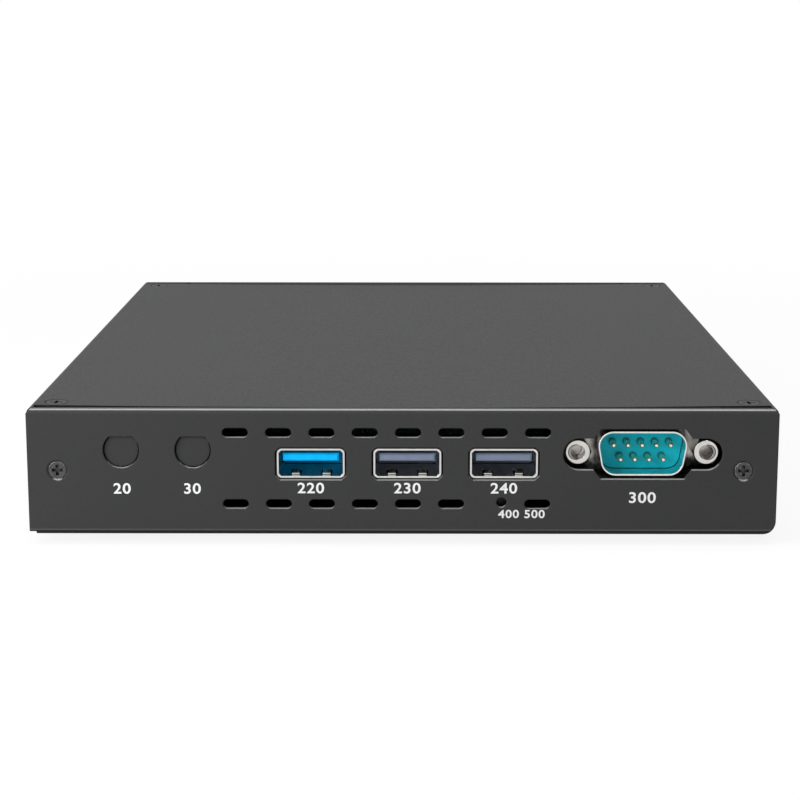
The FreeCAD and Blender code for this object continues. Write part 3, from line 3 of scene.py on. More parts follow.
import bpy
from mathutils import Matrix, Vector


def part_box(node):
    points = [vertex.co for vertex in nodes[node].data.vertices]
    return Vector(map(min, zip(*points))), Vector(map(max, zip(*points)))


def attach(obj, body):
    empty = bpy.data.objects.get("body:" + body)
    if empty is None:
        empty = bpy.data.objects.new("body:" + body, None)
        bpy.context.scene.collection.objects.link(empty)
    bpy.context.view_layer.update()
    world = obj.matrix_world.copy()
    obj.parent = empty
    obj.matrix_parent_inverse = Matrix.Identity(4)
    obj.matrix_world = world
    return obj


# Looks of the fanless computer. Lengths are metres, and MM turns millimetres into them.
# The front wall faces -Y and the origin is on the floor under the middle of the case.
# Colours are linear red, green and blue.

MM = 0.001
X, Y, Z = range(3)

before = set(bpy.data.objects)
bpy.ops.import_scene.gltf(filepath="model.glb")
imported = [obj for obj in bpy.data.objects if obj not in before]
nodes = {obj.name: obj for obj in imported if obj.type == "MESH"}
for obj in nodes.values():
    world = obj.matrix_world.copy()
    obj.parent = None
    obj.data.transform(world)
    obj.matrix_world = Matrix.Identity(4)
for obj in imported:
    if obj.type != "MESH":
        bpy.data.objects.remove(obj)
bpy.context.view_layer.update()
case_low, case_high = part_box("base_chassis")
FRONT, REAR = case_low.y, case_high.y
UNDER, TOP = case_low.z, case_high.z


# ---------------------------------------------------------------- material building blocks

# Where the Mix node keeps its two inputs and its output, for each kind of value.
MIX_SOCKETS = {"RGBA": (6, 7, 2), "VECTOR": (4, 5, 1)}


class Paint:
    """A Principled material, with the few kinds of texture that the finishes here share."""

    def __init__(self, name, **plain):
        self.material = bpy.data.materials.new(name)
        self.material.use_nodes = True
        self.tree = self.material.node_tree
        self.shader = self.tree.nodes["Principled BSDF"]
        for socket, value in plain.items():
            self.shader.inputs[socket.replace("_", " ")].default_value = value
        self.place = self.tree.nodes.new("ShaderNodeTexCoord").outputs["Object"]

    def add(self, kind, **values):
        node = self.tree.nodes.new(f"ShaderNode{kind}")
        for key, value in values.items():
            setattr(node, key, value)
        return node

    def link(self, source, target):
        self.tree.links.new(source, target)

    def feed(self, value, target):
        """Gives an input a socket, a number or a colour."""
        if isinstance(value, bpy.types.NodeSocket):
            self.link(value, target)
        elif isinstance(value, tuple):
            target.default_value = (*value, 1)
        else:
            target.default_value = value

    def given(self, socket):
        """What the shader's socket has been linked to so far."""
        return self.shader.inputs[socket].links[0].from_socket

    def noise(self, size, detail=2, squeeze=(1, 1, 1)):
        """Soft noise with features of about size millimetres, squeezed along each axis."""
        mapping = self.add("Mapping")
        mapping.inputs["Scale"].default_value = squeeze
        self.link(self.place, mapping.inputs["Vector"])
        noise = self.add("TexNoise")
        noise.inputs["Scale"].default_value = 1 / (size * MM)
        noise.inputs["Detail"].default_value = detail
        self.link(mapping.outputs["Vector"], noise.inputs["Vector"])
        return noise.outputs["Fac"]

    def cells(self, size, feature="F1"):
        """Distances in a pattern of cells of about size millimetres."""
        cells = self.add("TexVoronoi", feature=feature)
        cells.inputs["Scale"].default_value = 1 / (size * MM)
        self.link(self.place, cells.inputs["Vector"])
        return cells.outputs["Distance"]

    def spread(self, source, low, high, start=0.3, end=0.7):
        """A texture's values from start to end, spread from low to high."""
        spread = self.add("MapRange")
        spread.inputs["From Min"].default_value = start
        spread.inputs["From Max"].default_value = end
        spread.inputs["To Min"].default_value = low
        spread.inputs["To Max"].default_value = high
        self.link(source, spread.inputs["Value"])
        return spread.outputs["Result"]

    def rise(self, source, start, end):
        """0 up to start, and 1 from end on."""
        return self.spread(source, 0, 1, start, end)

    def fall(self, source, start, end):
        """1 up to start, and 0 from end on."""
        return self.spread(source, 1, 0, start, end)

    def patches(self, size, detail=2, squeeze=(1, 1, 1)):
        """Noise, spread from 0 to 1."""
        return self.spread(self.noise(size, detail, squeeze), 0, 1)

    def maths(self, operation, *values):
        """One sum on sockets or numbers."""
        node = self.add("Math", operation=operation)
        for slot, value in enumerate(values):
            self.feed(value, node.inputs[slot])
        return node.outputs[0]

    def product(self, first, *others):
        for other in others:
            first = self.maths("MULTIPLY", first, other)
        return first

    def away_from(self, source, middle):
        return self.maths("ABSOLUTE", self.maths("SUBTRACT", source, middle))

    def slant(self, aside, above):
        """The length of the slant over two sides."""
        squares = [self.maths("MULTIPLY", side, side) for side in (aside, above)]
        return self.maths("SQRT", self.maths("ADD", *squares))

    def parts_of(self, vector):
        parts = self.add("SeparateXYZ")
        self.link(vector, parts.inputs["Vector"])
        return parts.outputs

    def turned(self, direction, start, end):
        """A direction carried from the object's axes to the world's, or back."""
        turn = self.add("VectorTransform", vector_type="NORMAL", convert_from=start, convert_to=end)
        self.link(direction, turn.inputs["Vector"])
        return turn.outputs["Vector"]

    def soften_edges(self, radius):
        """Shades the edges as if rounded by a radius in millimetres."""
        bevel = self.add("Bevel", samples=6)
        bevel.inputs["Radius"].default_value = radius * MM
        self.link(bevel.outputs["Normal"], self.shader.inputs["Normal"])

    def mixed(self, factor, first, second, kind="RGBA"):
        """A colour or vector between two others."""
        mix = self.add("Mix", data_type=kind)
        first_slot, second_slot, result = MIX_SOCKETS[kind]
        self.link(factor, mix.inputs["Factor"])
        self.feed(first, mix.inputs[first_slot])
        self.feed(second, mix.inputs[second_slot])
        return mix.outputs[result]

    def colour(self, source):
        self.link(source, self.shader.inputs["Base Color"])

    def roughness(self, source):
        self.link(source, self.shader.inputs["Roughness"])

    def bump(self, height, depth):
        """Raises the surface by a texture, whose full height is given in millimetres."""
        bump = self.add("Bump")
        bump.inputs["Distance"].default_value = depth * MM
        self.link(height, bump.inputs["Height"])
        normal = self.shader.inputs["Normal"]
        if normal.is_linked:
            self.link(self.given("Normal"), bump.inputs["Normal"])
        self.link(bump.outputs["Normal"], normal)


def grey(level):
    return level, level, level


def tinted(colour, factor):
    return tuple(channel * factor for channel in colour)


def middle_of(name):
    """Where the middle of a node lies across the case."""
    low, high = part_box(name)
    return (low.x + high.x) / 2


# ---------------------------------------------------------------- finishes of the case

PAINT_BLACK = (0.031, 0.0312, 0.032)
# Painted highlight for the upper front fold.
PAINTED_FOLD_HIGHLIGHT = grey(0.2)
# Painted highlight on the upper lips of the cut-outs.
PAINTED_LIP_HIGHLIGHT = grey(0.36)
# Painted shade on the low folds.
PAINTED_LOW_FOLD_SHADE = grey(0.005)
# Painted highlight line along the low folds.
PAINTED_LOW_FOLD_HIGHLIGHT = grey(0.065)
# Painted shade of the seam, on the cover's front and rear edge faces.
PAINTED_SEAM_SHADE = grey(0.004)
DEEP_SHADE = grey(0.006)

# How far a surface faces upwards, or along an axis: 1 is straight along it. Each pair is
# where a change begins and where it is complete.
FOLD_TURN = 0.6, 0.74
TOP_TURN = 0.86, 0.96
LIP_TURN = 0.6, 0.7
SHEARED_TURN = 0.9, 0.95
FLAT_TURN = 0.85, 0.97

FOLD_RADIUS = 1.15 * MM
FOLD_BLEND = 0.01 * MM, 0.03 * MM
LIP_DEPTH = 1.7 * MM
LIP_BLEND = 0.1 * MM
LIP_MARGIN = 3 * MM
MARGIN_BLEND = 0.5 * MM
LOW_FOLD_RISE = 0.8 * MM, 0.95 * MM
# Height, fade and share of the painted highlight line along the low folds.
LOW_HIGHLIGHT_RISE = 1.05 * MM
LOW_HIGHLIGHT_FADE = 0.08 * MM, 0.2 * MM
LOW_HIGHLIGHT_SHARE = 0.8
# Metal and smoothness that go with the painted highlight on the upper front fold.
FOLD_HIGHLIGHT_METALLIC = 0.4
FOLD_HIGHLIGHT_SMOOTHING = 0.4

SCREW_RIM = 0.3 * MM
RIM_BLEND = 0.1 * MM
RECESS_REACH = 0.7 * MM
RECESS_LIGHT = 0.3, 0.75


def round_folds(paint, axis):
    """Shades the folds between a wall across an axis and the top or floor as true rounds."""
    place = paint.parts_of(paint.place)
    inner = case_high[axis] - FOLD_RADIUS
    wall = paint.maths("ABSOLUTE", place[axis])
    beside = paint.maths("MAXIMUM", paint.maths("SUBTRACT", wall, inner), 0)
    above = paint.maths("MAXIMUM", paint.maths("SUBTRACT", place[Z], TOP - FOLD_RADIUS), 0)
    below = paint.maths("MAXIMUM", paint.maths("SUBTRACT", UNDER + FOLD_RADIUS, place[Z]), 0)
    rise = paint.maths("SUBTRACT", above, below)
    in_fold = paint.maths("MINIMUM", beside, paint.maths("ABSOLUTE", rise))
    arrow = paint.add("CombineXYZ")
    paint.link(paint.product(beside, paint.maths("SIGN", place[axis])), arrow.inputs[axis])
    paint.link(rise, arrow.inputs[Z])
    outward = paint.add("VectorMath", operation="NORMALIZE")
    paint.link(paint.turned(arrow.outputs["Vector"], "OBJECT", "WORLD"), outward.inputs[0])
    share = paint.rise(in_fold, *FOLD_BLEND)
    rounded = paint.mixed(share, paint.given("Normal"), outward.outputs["Vector"], "VECTOR")
    paint.link(rounded, paint.shader.inputs["Normal"])


def powder_coat(name, axis):
    """Fine black powder coat with an even grain, folded at the walls across an axis."""
    paint = Paint(name, Specular_IOR_Level=0.15)
    paint.soften_edges(0.35)
    round_folds(paint, axis)
    cloud = paint.patches(24, 3)
    grain = paint.patches(0.35, 3)
    broad = paint.mixed(cloud, tinted(PAINT_BLACK, 0.95), tinted(PAINT_BLACK, 1.05))
    paint.colour(paint.mixed(grain, tinted(PAINT_BLACK, 0.9), broad))
    paint.roughness(paint.spread(paint.noise(0.5), 0.55, 0.66))
    return paint


def orange_peel(paint):
    paint.bump(paint.noise(0.9), 0.008)
    paint.bump(paint.noise(0.25, 3), 0.004)
    return paint


def chassis_coat():
    """The chassis's powder coat, with a painted highlight on its upper front fold and on the
    upper lips of the cut-outs. Its low folds take painted shade, with a painted highlight line
    along them."""
    paint = powder_coat("powder_coat", Y)
    coated, satin = paint.given("Base Color"), paint.given("Roughness")
    upward = paint.parts_of(paint.turned(paint.given("Normal"), "WORLD", "OBJECT"))[Z]
    place = paint.parts_of(paint.place)
    wall, height = paint.maths("ABSOLUTE", place[Y]), place[Z]

    # Painted highlight on the upward-slanted faces in the front half, chiefly the upper front fold.
    slanted = paint.product(paint.rise(upward, *FOLD_TURN), paint.fall(upward, *TOP_TURN))
    fold_highlight = paint.product(slanted, paint.fall(place[Y], -MM, MM))

    # Painted highlight on the upper lips of the cut-outs in the front and rear walls.
    in_wall = paint.rise(wall, REAR - LIP_DEPTH, REAR - LIP_DEPTH + LIP_BLEND)
    over = paint.rise(height, UNDER + LIP_MARGIN, UNDER + LIP_MARGIN + MARGIN_BLEND)
    short = paint.fall(height, TOP - LIP_MARGIN - MARGIN_BLEND, TOP - LIP_MARGIN)
    lip = paint.product(in_wall, paint.product(over, short), paint.rise(upward, *LIP_TURN))

    in_fold = paint.rise(wall, REAR - FOLD_RADIUS, REAR - 0.9 * FOLD_RADIUS)
    # Painted shade on the low folds of the front and rear walls.
    low = paint.product(in_fold, paint.fall(height, *[UNDER + rise for rise in LOW_FOLD_RISE]))
    coated = paint.mixed(low, coated, PAINTED_LOW_FOLD_SHADE)
    # A painted highlight line along the low folds, just above their painted shade.
    from_line = paint.away_from(height, UNDER + LOW_HIGHLIGHT_RISE)
    line = paint.spread(from_line, LOW_HIGHLIGHT_SHARE, 0, *LOW_HIGHLIGHT_FADE)
    coated = paint.mixed(paint.product(in_fold, line), coated, PAINTED_LOW_FOLD_HIGHLIGHT)

    paint.colour(paint.mixed(lip, paint.mixed(fold_highlight, coated, PAINTED_FOLD_HIGHLIGHT), PAINTED_LIP_HIGHLIGHT))
    paint.link(paint.product(fold_highlight, FOLD_HIGHLIGHT_METALLIC), paint.shader.inputs["Metallic"])
    paint.roughness(paint.product(satin, paint.spread(fold_highlight, 1, FOLD_HIGHLIGHT_SMOOTHING, 0, 1)))
    return orange_peel(paint)


def cover_coat():
    """The cover's powder coat, with painted shade of the seam on its sheared front and rear edges.
    """
    paint = powder_coat("cover_powder_coat", X)
    along = paint.parts_of(paint.add("NewGeometry").outputs["True Normal"])[Y]
    # Painted shade of the seam on the cover's front and rear edge faces.
    sheared = paint.rise(paint.maths("ABSOLUTE", along), *SHEARED_TURN)
    paint.colour(paint.mixed(sheared, paint.given("Base Color"), PAINTED_SEAM_SHADE))
    return orange_peel(paint)


def blackened_steel(name, oxide_colour, painted_rim_tone, metallic):
    """Screws in black oxide, with painted shade in their recesses and a given painted tone on the
    rims of their heads: a painted highlight on the wall screws, painted shade on the cover screws.
    """
    paint = Paint(name, Metallic=metallic, Specular_IOR_Level=0.2)
    flat = paint.add("NewGeometry").outputs["True Normal"]
    facing = paint.parts_of(paint.turned(flat, "WORLD", "OBJECT"))
    along = [paint.maths("ABSOLUTE", facing[axis]) for axis in (X, Y, Z)]
    squareness = paint.maths("MAXIMUM", paint.maths("MAXIMUM", along[X], along[Y]), along[Z])
    low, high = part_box("wall_screws")
    reach = (high.y - low.y) / 2
    depth = paint.away_from(paint.parts_of(paint.place)[Y], (low.y + high.y) / 2)
    # The rims of the heads take the painted tone, and the recesses take painted shade.
    in_head = paint.rise(depth, reach - SCREW_RIM - RIM_BLEND, reach - SCREW_RIM)
    rim = paint.product(paint.fall(squareness, *FLAT_TURN), in_head)
    oxide = paint.mixed(paint.patches(0.3, 3), tinted(oxide_colour, 0.5), oxide_colour)
    cavity = paint.add("AmbientOcclusion", samples=6)
    cavity.inputs["Distance"].default_value = RECESS_REACH
    hidden = paint.fall(cavity.outputs["AO"], *RECESS_LIGHT)
    paint.colour(paint.mixed(rim, paint.mixed(hidden, oxide, DEEP_SHADE), painted_rim_tone))
    paint.roughness(paint.spread(paint.noise(0.15), 0.42, 0.55))
    paint.soften_edges(0.1)
    paint.bump(paint.noise(0.12), 0.01)
    return paint


# ---------------------------------------------------------------- finishes of the sockets

# Painted shade of the serial flange and of the jackscrews' bores.
PAINTED_METAL_SHADE = (0.02, 0.019, 0.018)
# The lighter end of the mottle in that painted shade.
LIGHTER_MOTTLED_SHADE = (0.16, 0.15, 0.14)
# Painted light patches on the serial flange.
PAINTED_FLANGE_LIGHT = (0.5, 0.48, 0.45)
THREAD_CREST = (0.4, 0.38, 0.36)
TEAL = (0.0, 0.4, 0.51)
# Painted shadow round the foot of each serial pin.
PAINTED_PIN_SHADOW = (0.0, 0.03, 0.04)

HOOD_DEPTH = 5.5 * MM
HOOD_BLEND = 0.6 * MM
# Where the painted light patches of the flange begin and end, beside the middle of the hood.
LIGHT_PATCH_FROM = 8.8 * MM, 9.8 * MM
LIGHT_PATCH_TO = 10.2 * MM, 12 * MM
BORE_EDGE = 1.43 * MM, 1.55 * MM
THREAD_PITCH = 0.64 * MM
PIN_RADIUS = 0.5 * MM
PINS_ABOVE, PINS_BELOW = 5, 4
# Edge and share of the painted shadow round each pin.
PIN_SHADOW_EDGE = 0.5 * MM, 0.95 * MM
PIN_SHADOW_SHARE = 0.9


def plated(name, colour, low, high, streaks=(1, 1, 1)):
    """Plated metal of a roughness from low to high: clouded gloss with drawn streaks."""
    paint = Paint(name, Metallic=1)
    paint.soften_edges(0.08)
    cloud = paint.patches(1.6, 3, streaks)
    paint.colour(paint.mixed(cloud, tinted(colour, 0.88), colour))
    paint.roughness(paint.spread(paint.noise(0.5, 3, streaks), low, high))
    paint.bump(paint.noise(0.3, 2, streaks), 0.004)
    return paint


def serial_plate():
    """The serial port's bright drawn hood on a flange in painted shade, mottled, with painted light
    patches at its ends.
    """
    paint = plated("serial_plate", (0.8, 0.79, 0.77), 0.12, 0.26)
    place = paint.parts_of(paint.place)
    hood_end = FRONT + HOOD_DEPTH
    flange = paint.rise(place[Y], hood_end, hood_end + HOOD_BLEND)
    # The flange takes painted shade, mottled, with painted light patches at its ends beside the
    # hood.
    mottle = paint.rise(paint.noise(2.2, 4), 0.35, 0.75)
    tin = paint.mixed(mottle, PAINTED_METAL_SHADE, LIGHTER_MOTTLED_SHADE)
    beside = paint.away_from(place[X], middle_of("serial_shell"))
    ends = paint.product(paint.rise(beside, *LIGHT_PATCH_FROM), paint.fall(beside, *LIGHT_PATCH_TO))
    # Painted light patches at the ends of the flange.
    lit_patches = paint.product(ends, paint.spread(mottle, 0.5, 1, 0, 1))
    paint.colour(paint.mixed(flange, paint.given("Base Color"), paint.mixed(lit_patches, tin, PAINTED_FLANGE_LIGHT)))
    return paint


def jack_plate():
    """Nickelled jackscrews, with painted shade in their bores, banded by the thread."""
    paint = plated("jack_plate", (0.68, 0.66, 0.63), 0.12, 0.26)
    low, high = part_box("serial_jacks")
    jack_radius = (high.z - low.z) / 2
    reach = (high.x - low.x) / 2 - jack_radius
    x, y, z = paint.parts_of(paint.place)
    aside = paint.maths("SUBTRACT", paint.away_from(x, (low.x + high.x) / 2), reach)
    above = paint.maths("SUBTRACT", z, (low.z + high.z) / 2)
    in_bore = paint.fall(paint.slant(aside, above), *BORE_EDGE)
    turns = paint.maths("SINE", paint.maths("MULTIPLY", y, 2 * math.pi / THREAD_PITCH))
    thread = paint.product(in_bore, paint.rise(turns, -1, 1))
    # Painted shade in the bores, darker in the thread's grooves than on its crests.
    bore_shade = paint.mixed(thread, PAINTED_METAL_SHADE, THREAD_CREST)
    paint.colour(paint.mixed(in_bore, paint.given("Base Color"), bore_shade))
    paint.bump(thread, 0.15)
    return paint


def moulded(name, colour, low=0.35, high=0.5, size=0.2, **plain):
    """Moulded plastic of a roughness from low to high, with a fine spark-eroded grain."""
    paint = Paint(name, **plain)
    paint.colour(paint.mixed(paint.patches(2.5), tinted(colour, 0.9), tinted(colour, 1.06)))
    paint.roughness(paint.spread(paint.noise(size * 2), low, high))
    paint.bump(paint.noise(size, 3), 0.008)
    return paint


def pin_holder():
    """Teal plastic, with a painted shadow round the foot of each serial pin."""
    paint = moulded("teal_plastic", TEAL, Specular_IOR_Level=0.15)
    low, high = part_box("serial_pins")
    first = low.x + PIN_RADIUS
    pitch = (high.x - low.x - 2 * PIN_RADIUS) / (PINS_ABOVE - 1)
    x, y, z = paint.parts_of(paint.place)
    rows = (
        (PINS_ABOVE, first, high.z - PIN_RADIUS),
        (PINS_BELOW, first + pitch / 2, low.z + PIN_RADIUS),
    )
    distances = []
    for count, start, height in rows:
        steps = paint.maths("DIVIDE", paint.maths("SUBTRACT", x, start), pitch)
        pin = paint.maths("MAXIMUM", paint.maths("ROUND", steps), 0)
        pin = paint.maths("MINIMUM", pin, count - 1)
        aside = paint.maths("MULTIPLY", paint.maths("SUBTRACT", steps, pin), pitch)
        distances.append(paint.slant(aside, paint.maths("SUBTRACT", z, height)))
    # Painted shadow round the foot of each pin.
    pin_shadow = paint.spread(paint.maths("MINIMUM", *distances), PIN_SHADOW_SHARE, 0, *PIN_SHADOW_EDGE)
    paint.colour(paint.mixed(pin_shadow, paint.given("Base Color"), PAINTED_PIN_SHADOW))
    return paint


# ---------------------------------------------------------------- finishes of the rest


def machined_aluminium():
    """Milled aluminium with straight tool marks along X."""
    paint = Paint("machined_aluminium", Metallic=1)
    marks = paint.noise(0.6, 2, (0.05, 1, 1))
    paint.colour(paint.mixed(paint.spread(marks, 0, 1), (0.55, 0.56, 0.57), (0.8, 0.8, 0.81)))
    paint.roughness(paint.spread(marks, 0.25, 0.42))
    paint.bump(marks, 0.01)
    return paint


def solder_mask():
    """Green solder mask over copper tracks, with tinned spots between them."""
    paint = Paint("solder_mask", Coat_Weight=0.4, Coat_Roughness=0.15)
    tracks = paint.fall(paint.cells(1.4, "DISTANCE_TO_EDGE"), 0.1, 0.16)
    ground = paint.mixed(paint.patches(6), (0.004, 0.045, 0.02), (0.006, 0.06, 0.028))
    masked = paint.mixed(tracks, ground, (0.012, 0.11, 0.05))
    spots = paint.fall(paint.cells(2.3), 0.1, 0.14)
    paint.colour(paint.mixed(spots, masked, (0.5, 0.48, 0.42)))
    paint.roughness(paint.spread(paint.noise(0.8), 0.3, 0.42))
    paint.bump(tracks, 0.03)
    return paint


def rubber():
    """Matt black rubber with a dusty bloom."""
    paint = Paint("foot_rubber")
    paint.colour(paint.mixed(paint.patches(1.2, 4), grey(0.012), (0.022, 0.022, 0.021)))
    paint.roughness(paint.spread(paint.noise(0.6, 3), 0.75, 0.9))
    paint.bump(paint.noise(0.3, 3), 0.02)
    return paint


def soft_pad(name, colour):
    """A silicone pad or paste with filler grains."""
    paint = Paint(name, Subsurface_Weight=0.05)
    grain = paint.rise(paint.cells(0.4), 0.1, 0.5)
    paint.colour(paint.mixed(grain, tinted(colour, 0.8), colour))
    paint.roughness(paint.spread(paint.noise(0.5, 3), 0.6, 0.75))
    paint.bump(grain, 0.02)
    return paint


def printed_ink():
    """White ink with a slight unevenness, as a pad print has."""
    paint = Paint("white_ink")
    paint.colour(paint.mixed(paint.patches(0.4, 3), grey(0.62), grey(0.7)))
    paint.roughness(paint.spread(paint.noise(0.3), 0.5, 0.62))
    return paint


# ---------------------------------------------------------------- the nodes' finishes


def dress(paint, *names):
    """Gives nodes a finish."""
    for name in names:
        mesh = nodes[name].data
        mesh.materials.clear()
        mesh.materials.append(paint.material)


def ending_in(*endings):
    return [name for name in nodes if name.endswith(endings)]


def dress_case():
    dress(chassis_coat(), "base_chassis")
    dress(cover_coat(), "top_cover")
    # The wall screws take a painted highlight on their head rims, and the cover screws take painted
    # shade there.
    rim_lit_steel = blackened_steel("blackened_steel", (0.085, 0.085, 0.086), grey(0.6), 0.6)
    dress(rim_lit_steel, "wall_screws")
    rim_shaded_steel = blackened_steel("deep_black_steel", grey(0.025), DEEP_SHADE, 0.15)
    dress(rim_shaded_steel, "cover_screws")
    dress(rubber(), "rubber_feet")


def dress_metal():
    nickel = plated("bright_nickel", (0.7, 0.69, 0.67), 0.12, 0.26)
    shells = [name for name in ending_in("_shell") if name != "serial_shell"]
    dress(nickel, *shells, "supply_pin")
    drawn = plated("drawn_nickel", (0.58, 0.58, 0.57), 0.22, 0.42, (0.2, 1, 1))
    dress(drawn, *ending_in("_shield"))
    dress(serial_plate(), "serial_shell")
    dress(jack_plate(), "serial_jacks")
    zinc = plated("dull_zinc", (0.62, 0.63, 0.64), 0.3, 0.48)
    dress(zinc, "mounting_inserts", "board_standoffs", "board_screws", "serial_brackets",
          "spreader_screws", "drive_post", "drive_screw", "coin_cell", "capacitors")
    dress(plated("gold_flash", (0.86, 0.62, 0.25), 0.2, 0.35), *ending_in("_contacts"))
    dress(plated("pin_plate", (0.9, 0.82, 0.62), 0.18, 0.3), "serial_pins")
    dress(plated("lid_nickel", (0.66, 0.66, 0.64), 0.25, 0.4), "processor")
    dress(machined_aluminium(), "heat_spreader")


def dress_plastic():
    blue = moulded("blue_plastic", (0.0, 0.4, 0.82), Specular_IOR_Level=0.1)
    dress(blue, "usb_left_tongue")
    slate = moulded("slate_plastic", (0.145, 0.18, 0.255), Specular_IOR_Level=0.3)
    dress(slate, "usb_middle_tongue", "usb_right_tongue")
    dress(pin_holder(), "serial_insert")
    black = moulded("black_plastic", (0.014, 0.014, 0.015), 0.4, 0.55)
    dress(black, *ending_in("_housing", "_socket"), "display_left_tongue",
          "display_right_tongue", "supply_jack", "cell_holder", "reset_switch", "power_button",
          "reset_plunger")
    chip = moulded("chip_plastic", (0.022, 0.022, 0.024), 0.55, 0.7, 0.1)
    dress(chip, "soldered_chips", "chokes", "power_switch")
    dress(moulded("clear_lens", (0.55, 0.5, 0.3), 0.1, 0.2, Coat_Weight=0.5), "lan_lights")
    dress(soft_pad("heat_pad", (0.36, 0.42, 0.52)), "thermal_pad")
    dress(soft_pad("heat_paste", grey(0.55)), "thermal_paste")
    dress(solder_mask(), "mainboard", "memory_module", "drive_card")


# ---------------------------------------------------------------- printed numbers

INK_THICKNESS = 0.02 * MM
CAPITAL_SHARE = 0.7
STROKE_SHARE = 0.025
FIGURE_SPACING = 1.1
FIGURE_STRETCH = (1.15, 1.02, 1)

# Figures, the middle of their place across the case and above its underside, and their height.
NUMBERS = (
    ("20", -54.6 * MM, 9.2 * MM, 2 * MM),
    ("30", -40.93 * MM, 9.2 * MM, 2 * MM),
    ("220", middle_of("usb_left_shell"), 9.33 * MM, 2 * MM),
    ("230", middle_of("usb_middle_shell"), 9.33 * MM, 2 * MM),
    ("240", middle_of("usb_right_shell"), 9.33 * MM, 2 * MM),
    ("300", middle_of("serial_shell"), 7.5 * MM, 2.05 * MM),
    ("400 500", 23.3 * MM, 4.2 * MM, 1.55 * MM),
)


def print_number(figures, x, height, capital, ink):
    """Plain bold figures in relief as thin as ink, on the front wall."""
    name = "number_" + figures.replace(" ", "_")
    curve = bpy.data.curves.new(name, "FONT")
    curve.body = figures
    curve.size = capital / CAPITAL_SHARE
    curve.space_character = FIGURE_SPACING
    curve.offset = capital * STROKE_SHARE
    curve.extrude = INK_THICKNESS
    curve.align_x = "CENTER"
    curve.align_y = "CENTER"
    label = bpy.data.objects.new(name, curve)
    bpy.context.collection.objects.link(label)
    label.location = (x, FRONT, UNDER + height)
    label.scale = FIGURE_STRETCH
    label.rotation_euler = (math.radians(90), 0, 0)
    curve.materials.append(ink)
    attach(label, "chassis")


def print_numbers():
    ink = printed_ink().material
    for figures, x, height, capital in NUMBERS:
        print_number(figures, x, height, capital, ink)


# ---------------------------------------------------------------- stage

AMBIENT_LEVEL = 0.42
WHITE = (1, 1, 1, 1)

FLOOR_HALF = 3.0
FLOOR_COLOUR = (0.9, 0.9, 0.9, 1)
# The floor's own shade keeps a share near the object and fades out over these distances.
FLOOR_FADE = 0.12, 0.4
NEAR_WHITENESS = 0.88

# Name, place, what it points at, width, depth and watts.
LAMPS = (
    ("key", (-0.1, -0.13, 0.75), (-0.1, -0.13, 0), 0.9, 0.4, 3.7),
    ("front_fill", (-0.36, -0.36, 0.2), (0, 0, 0.01), 0.3, 0.3, 2.3),
)

CAMERA_PLACE = (1.78 * MM, FRONT - 382.1 * MM, TOP + 77.9 * MM)
CAMERA_DIP = 11.27
CAMERA_TURN = 0.33
CAMERA_LENS = 90.8
CAMERA_SENSOR = 36


def seen_directly(tree):
    """1 for rays from the camera and for those that metal or glass passes on, and 0 for others."""
    path = tree.nodes.new("ShaderNodeLightPath")
    seen = path.outputs["Is Camera Ray"]
    for ray in ("Is Glossy Ray", "Is Transmission Ray"):
        either = tree.nodes.new("ShaderNodeMath")
        either.operation = "MAXIMUM"
        tree.links.new(seen, either.inputs[0])
        tree.links.new(path.outputs[ray], either.inputs[1])
        seen = either.outputs[0]
    return seen


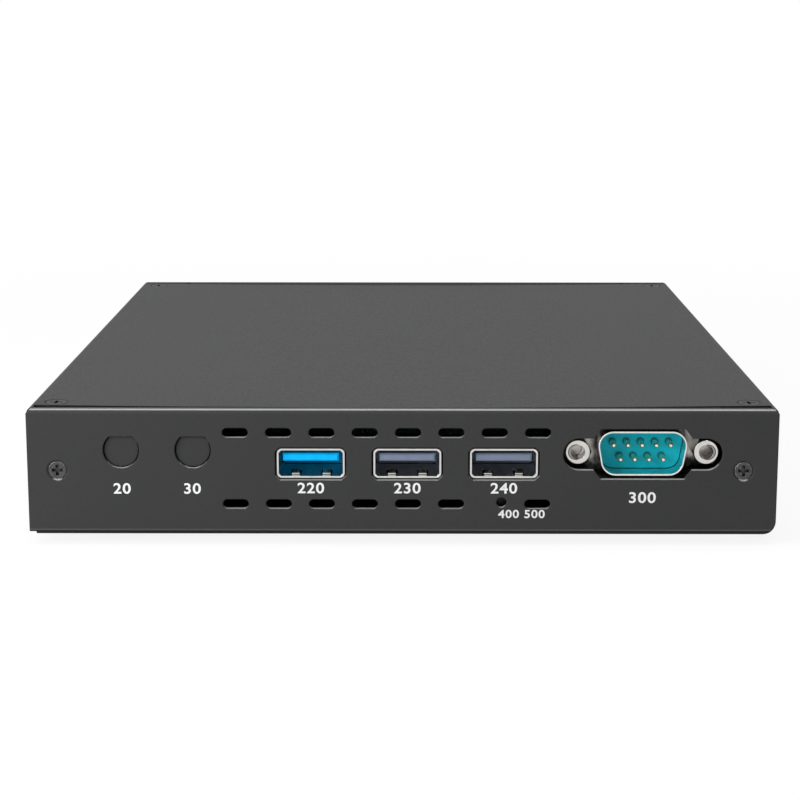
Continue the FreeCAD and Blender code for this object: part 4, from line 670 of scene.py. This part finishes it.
def light_world():
    """Soft light from all sides, in a world that is seen as white."""
    world = bpy.data.worlds.new("studio")
    world.use_nodes = True
    bpy.context.scene.world = world
    tree = world.node_tree
    ambient = tree.nodes["Background"]
    ambient.inputs["Color"].default_value = WHITE
    ambient.inputs["Strength"].default_value = AMBIENT_LEVEL
    white = tree.nodes.new("ShaderNodeBackground")
    white.inputs["Color"].default_value = WHITE
    white.inputs["Strength"].default_value = 1
    mix = tree.nodes.new("ShaderNodeMixShader")
    tree.links.new(seen_directly(tree), mix.inputs["Fac"])
    tree.links.new(ambient.outputs[0], mix.inputs[1])
    tree.links.new(white.outputs[0], mix.inputs[2])
    tree.links.new(mix.outputs[0], tree.nodes["World Output"].inputs["Surface"])


def lay_floor():
    """A pale floor that keeps the object's shadow and fades into the white around it."""
    mesh = bpy.data.meshes.new("floor")
    corners = [(x * FLOOR_HALF, y * FLOOR_HALF, 0) for x, y in ((-1, -1), (1, -1), (1, 1), (-1, 1))]
    mesh.from_pydata(corners, [], [(0, 1, 2, 3)])
    floor = bpy.data.objects.new("floor", mesh)
    bpy.context.collection.objects.link(floor)
    paint = Paint("floor", Base_Color=FLOOR_COLOUR, Roughness=0.9, Specular_IOR_Level=0.1)
    length = paint.add("VectorMath", operation="LENGTH")
    paint.link(paint.place, length.inputs[0])
    whiteness = paint.spread(length.outputs["Value"], NEAR_WHITENESS, 1, *FLOOR_FADE)
    glow = paint.add("Emission")
    mix = paint.add("MixShader")
    paint.link(paint.product(seen_directly(paint.tree), whiteness), mix.inputs["Fac"])
    paint.link(paint.shader.outputs[0], mix.inputs[1])
    paint.link(glow.outputs[0], mix.inputs[2])
    paint.link(mix.outputs[0], paint.tree.nodes["Material Output"].inputs["Surface"])
    mesh.materials.append(paint.material)


def place_lights():
    for name, place, target, width, depth, watts in LAMPS:
        lamp = bpy.data.lights.new(name, "AREA")
        lamp.shape = "RECTANGLE"
        lamp.size = width
        lamp.size_y = depth
        lamp.energy = watts
        item = bpy.data.objects.new(name, lamp)
        bpy.context.collection.objects.link(item)
        item.location = place
        way = Vector(target) - Vector(place)
        item.rotation_euler = way.to_track_quat("-Z", "Y").to_euler()


def place_camera():
    camera = bpy.data.cameras.new("camera")
    camera.sensor_width = CAMERA_SENSOR
    camera.lens = CAMERA_LENS
    item = bpy.data.objects.new("camera", camera)
    bpy.context.collection.objects.link(item)
    item.location = CAMERA_PLACE
    item.rotation_euler = (math.radians(90 - CAMERA_DIP), 0, math.radians(CAMERA_TURN))
    bpy.context.scene.camera = item


dress_case()
dress_metal()
dress_plastic()
print_numbers()
light_world()
lay_floor()
place_lights()
place_camera()
bpy.context.scene.view_settings.view_transform = "Standard"
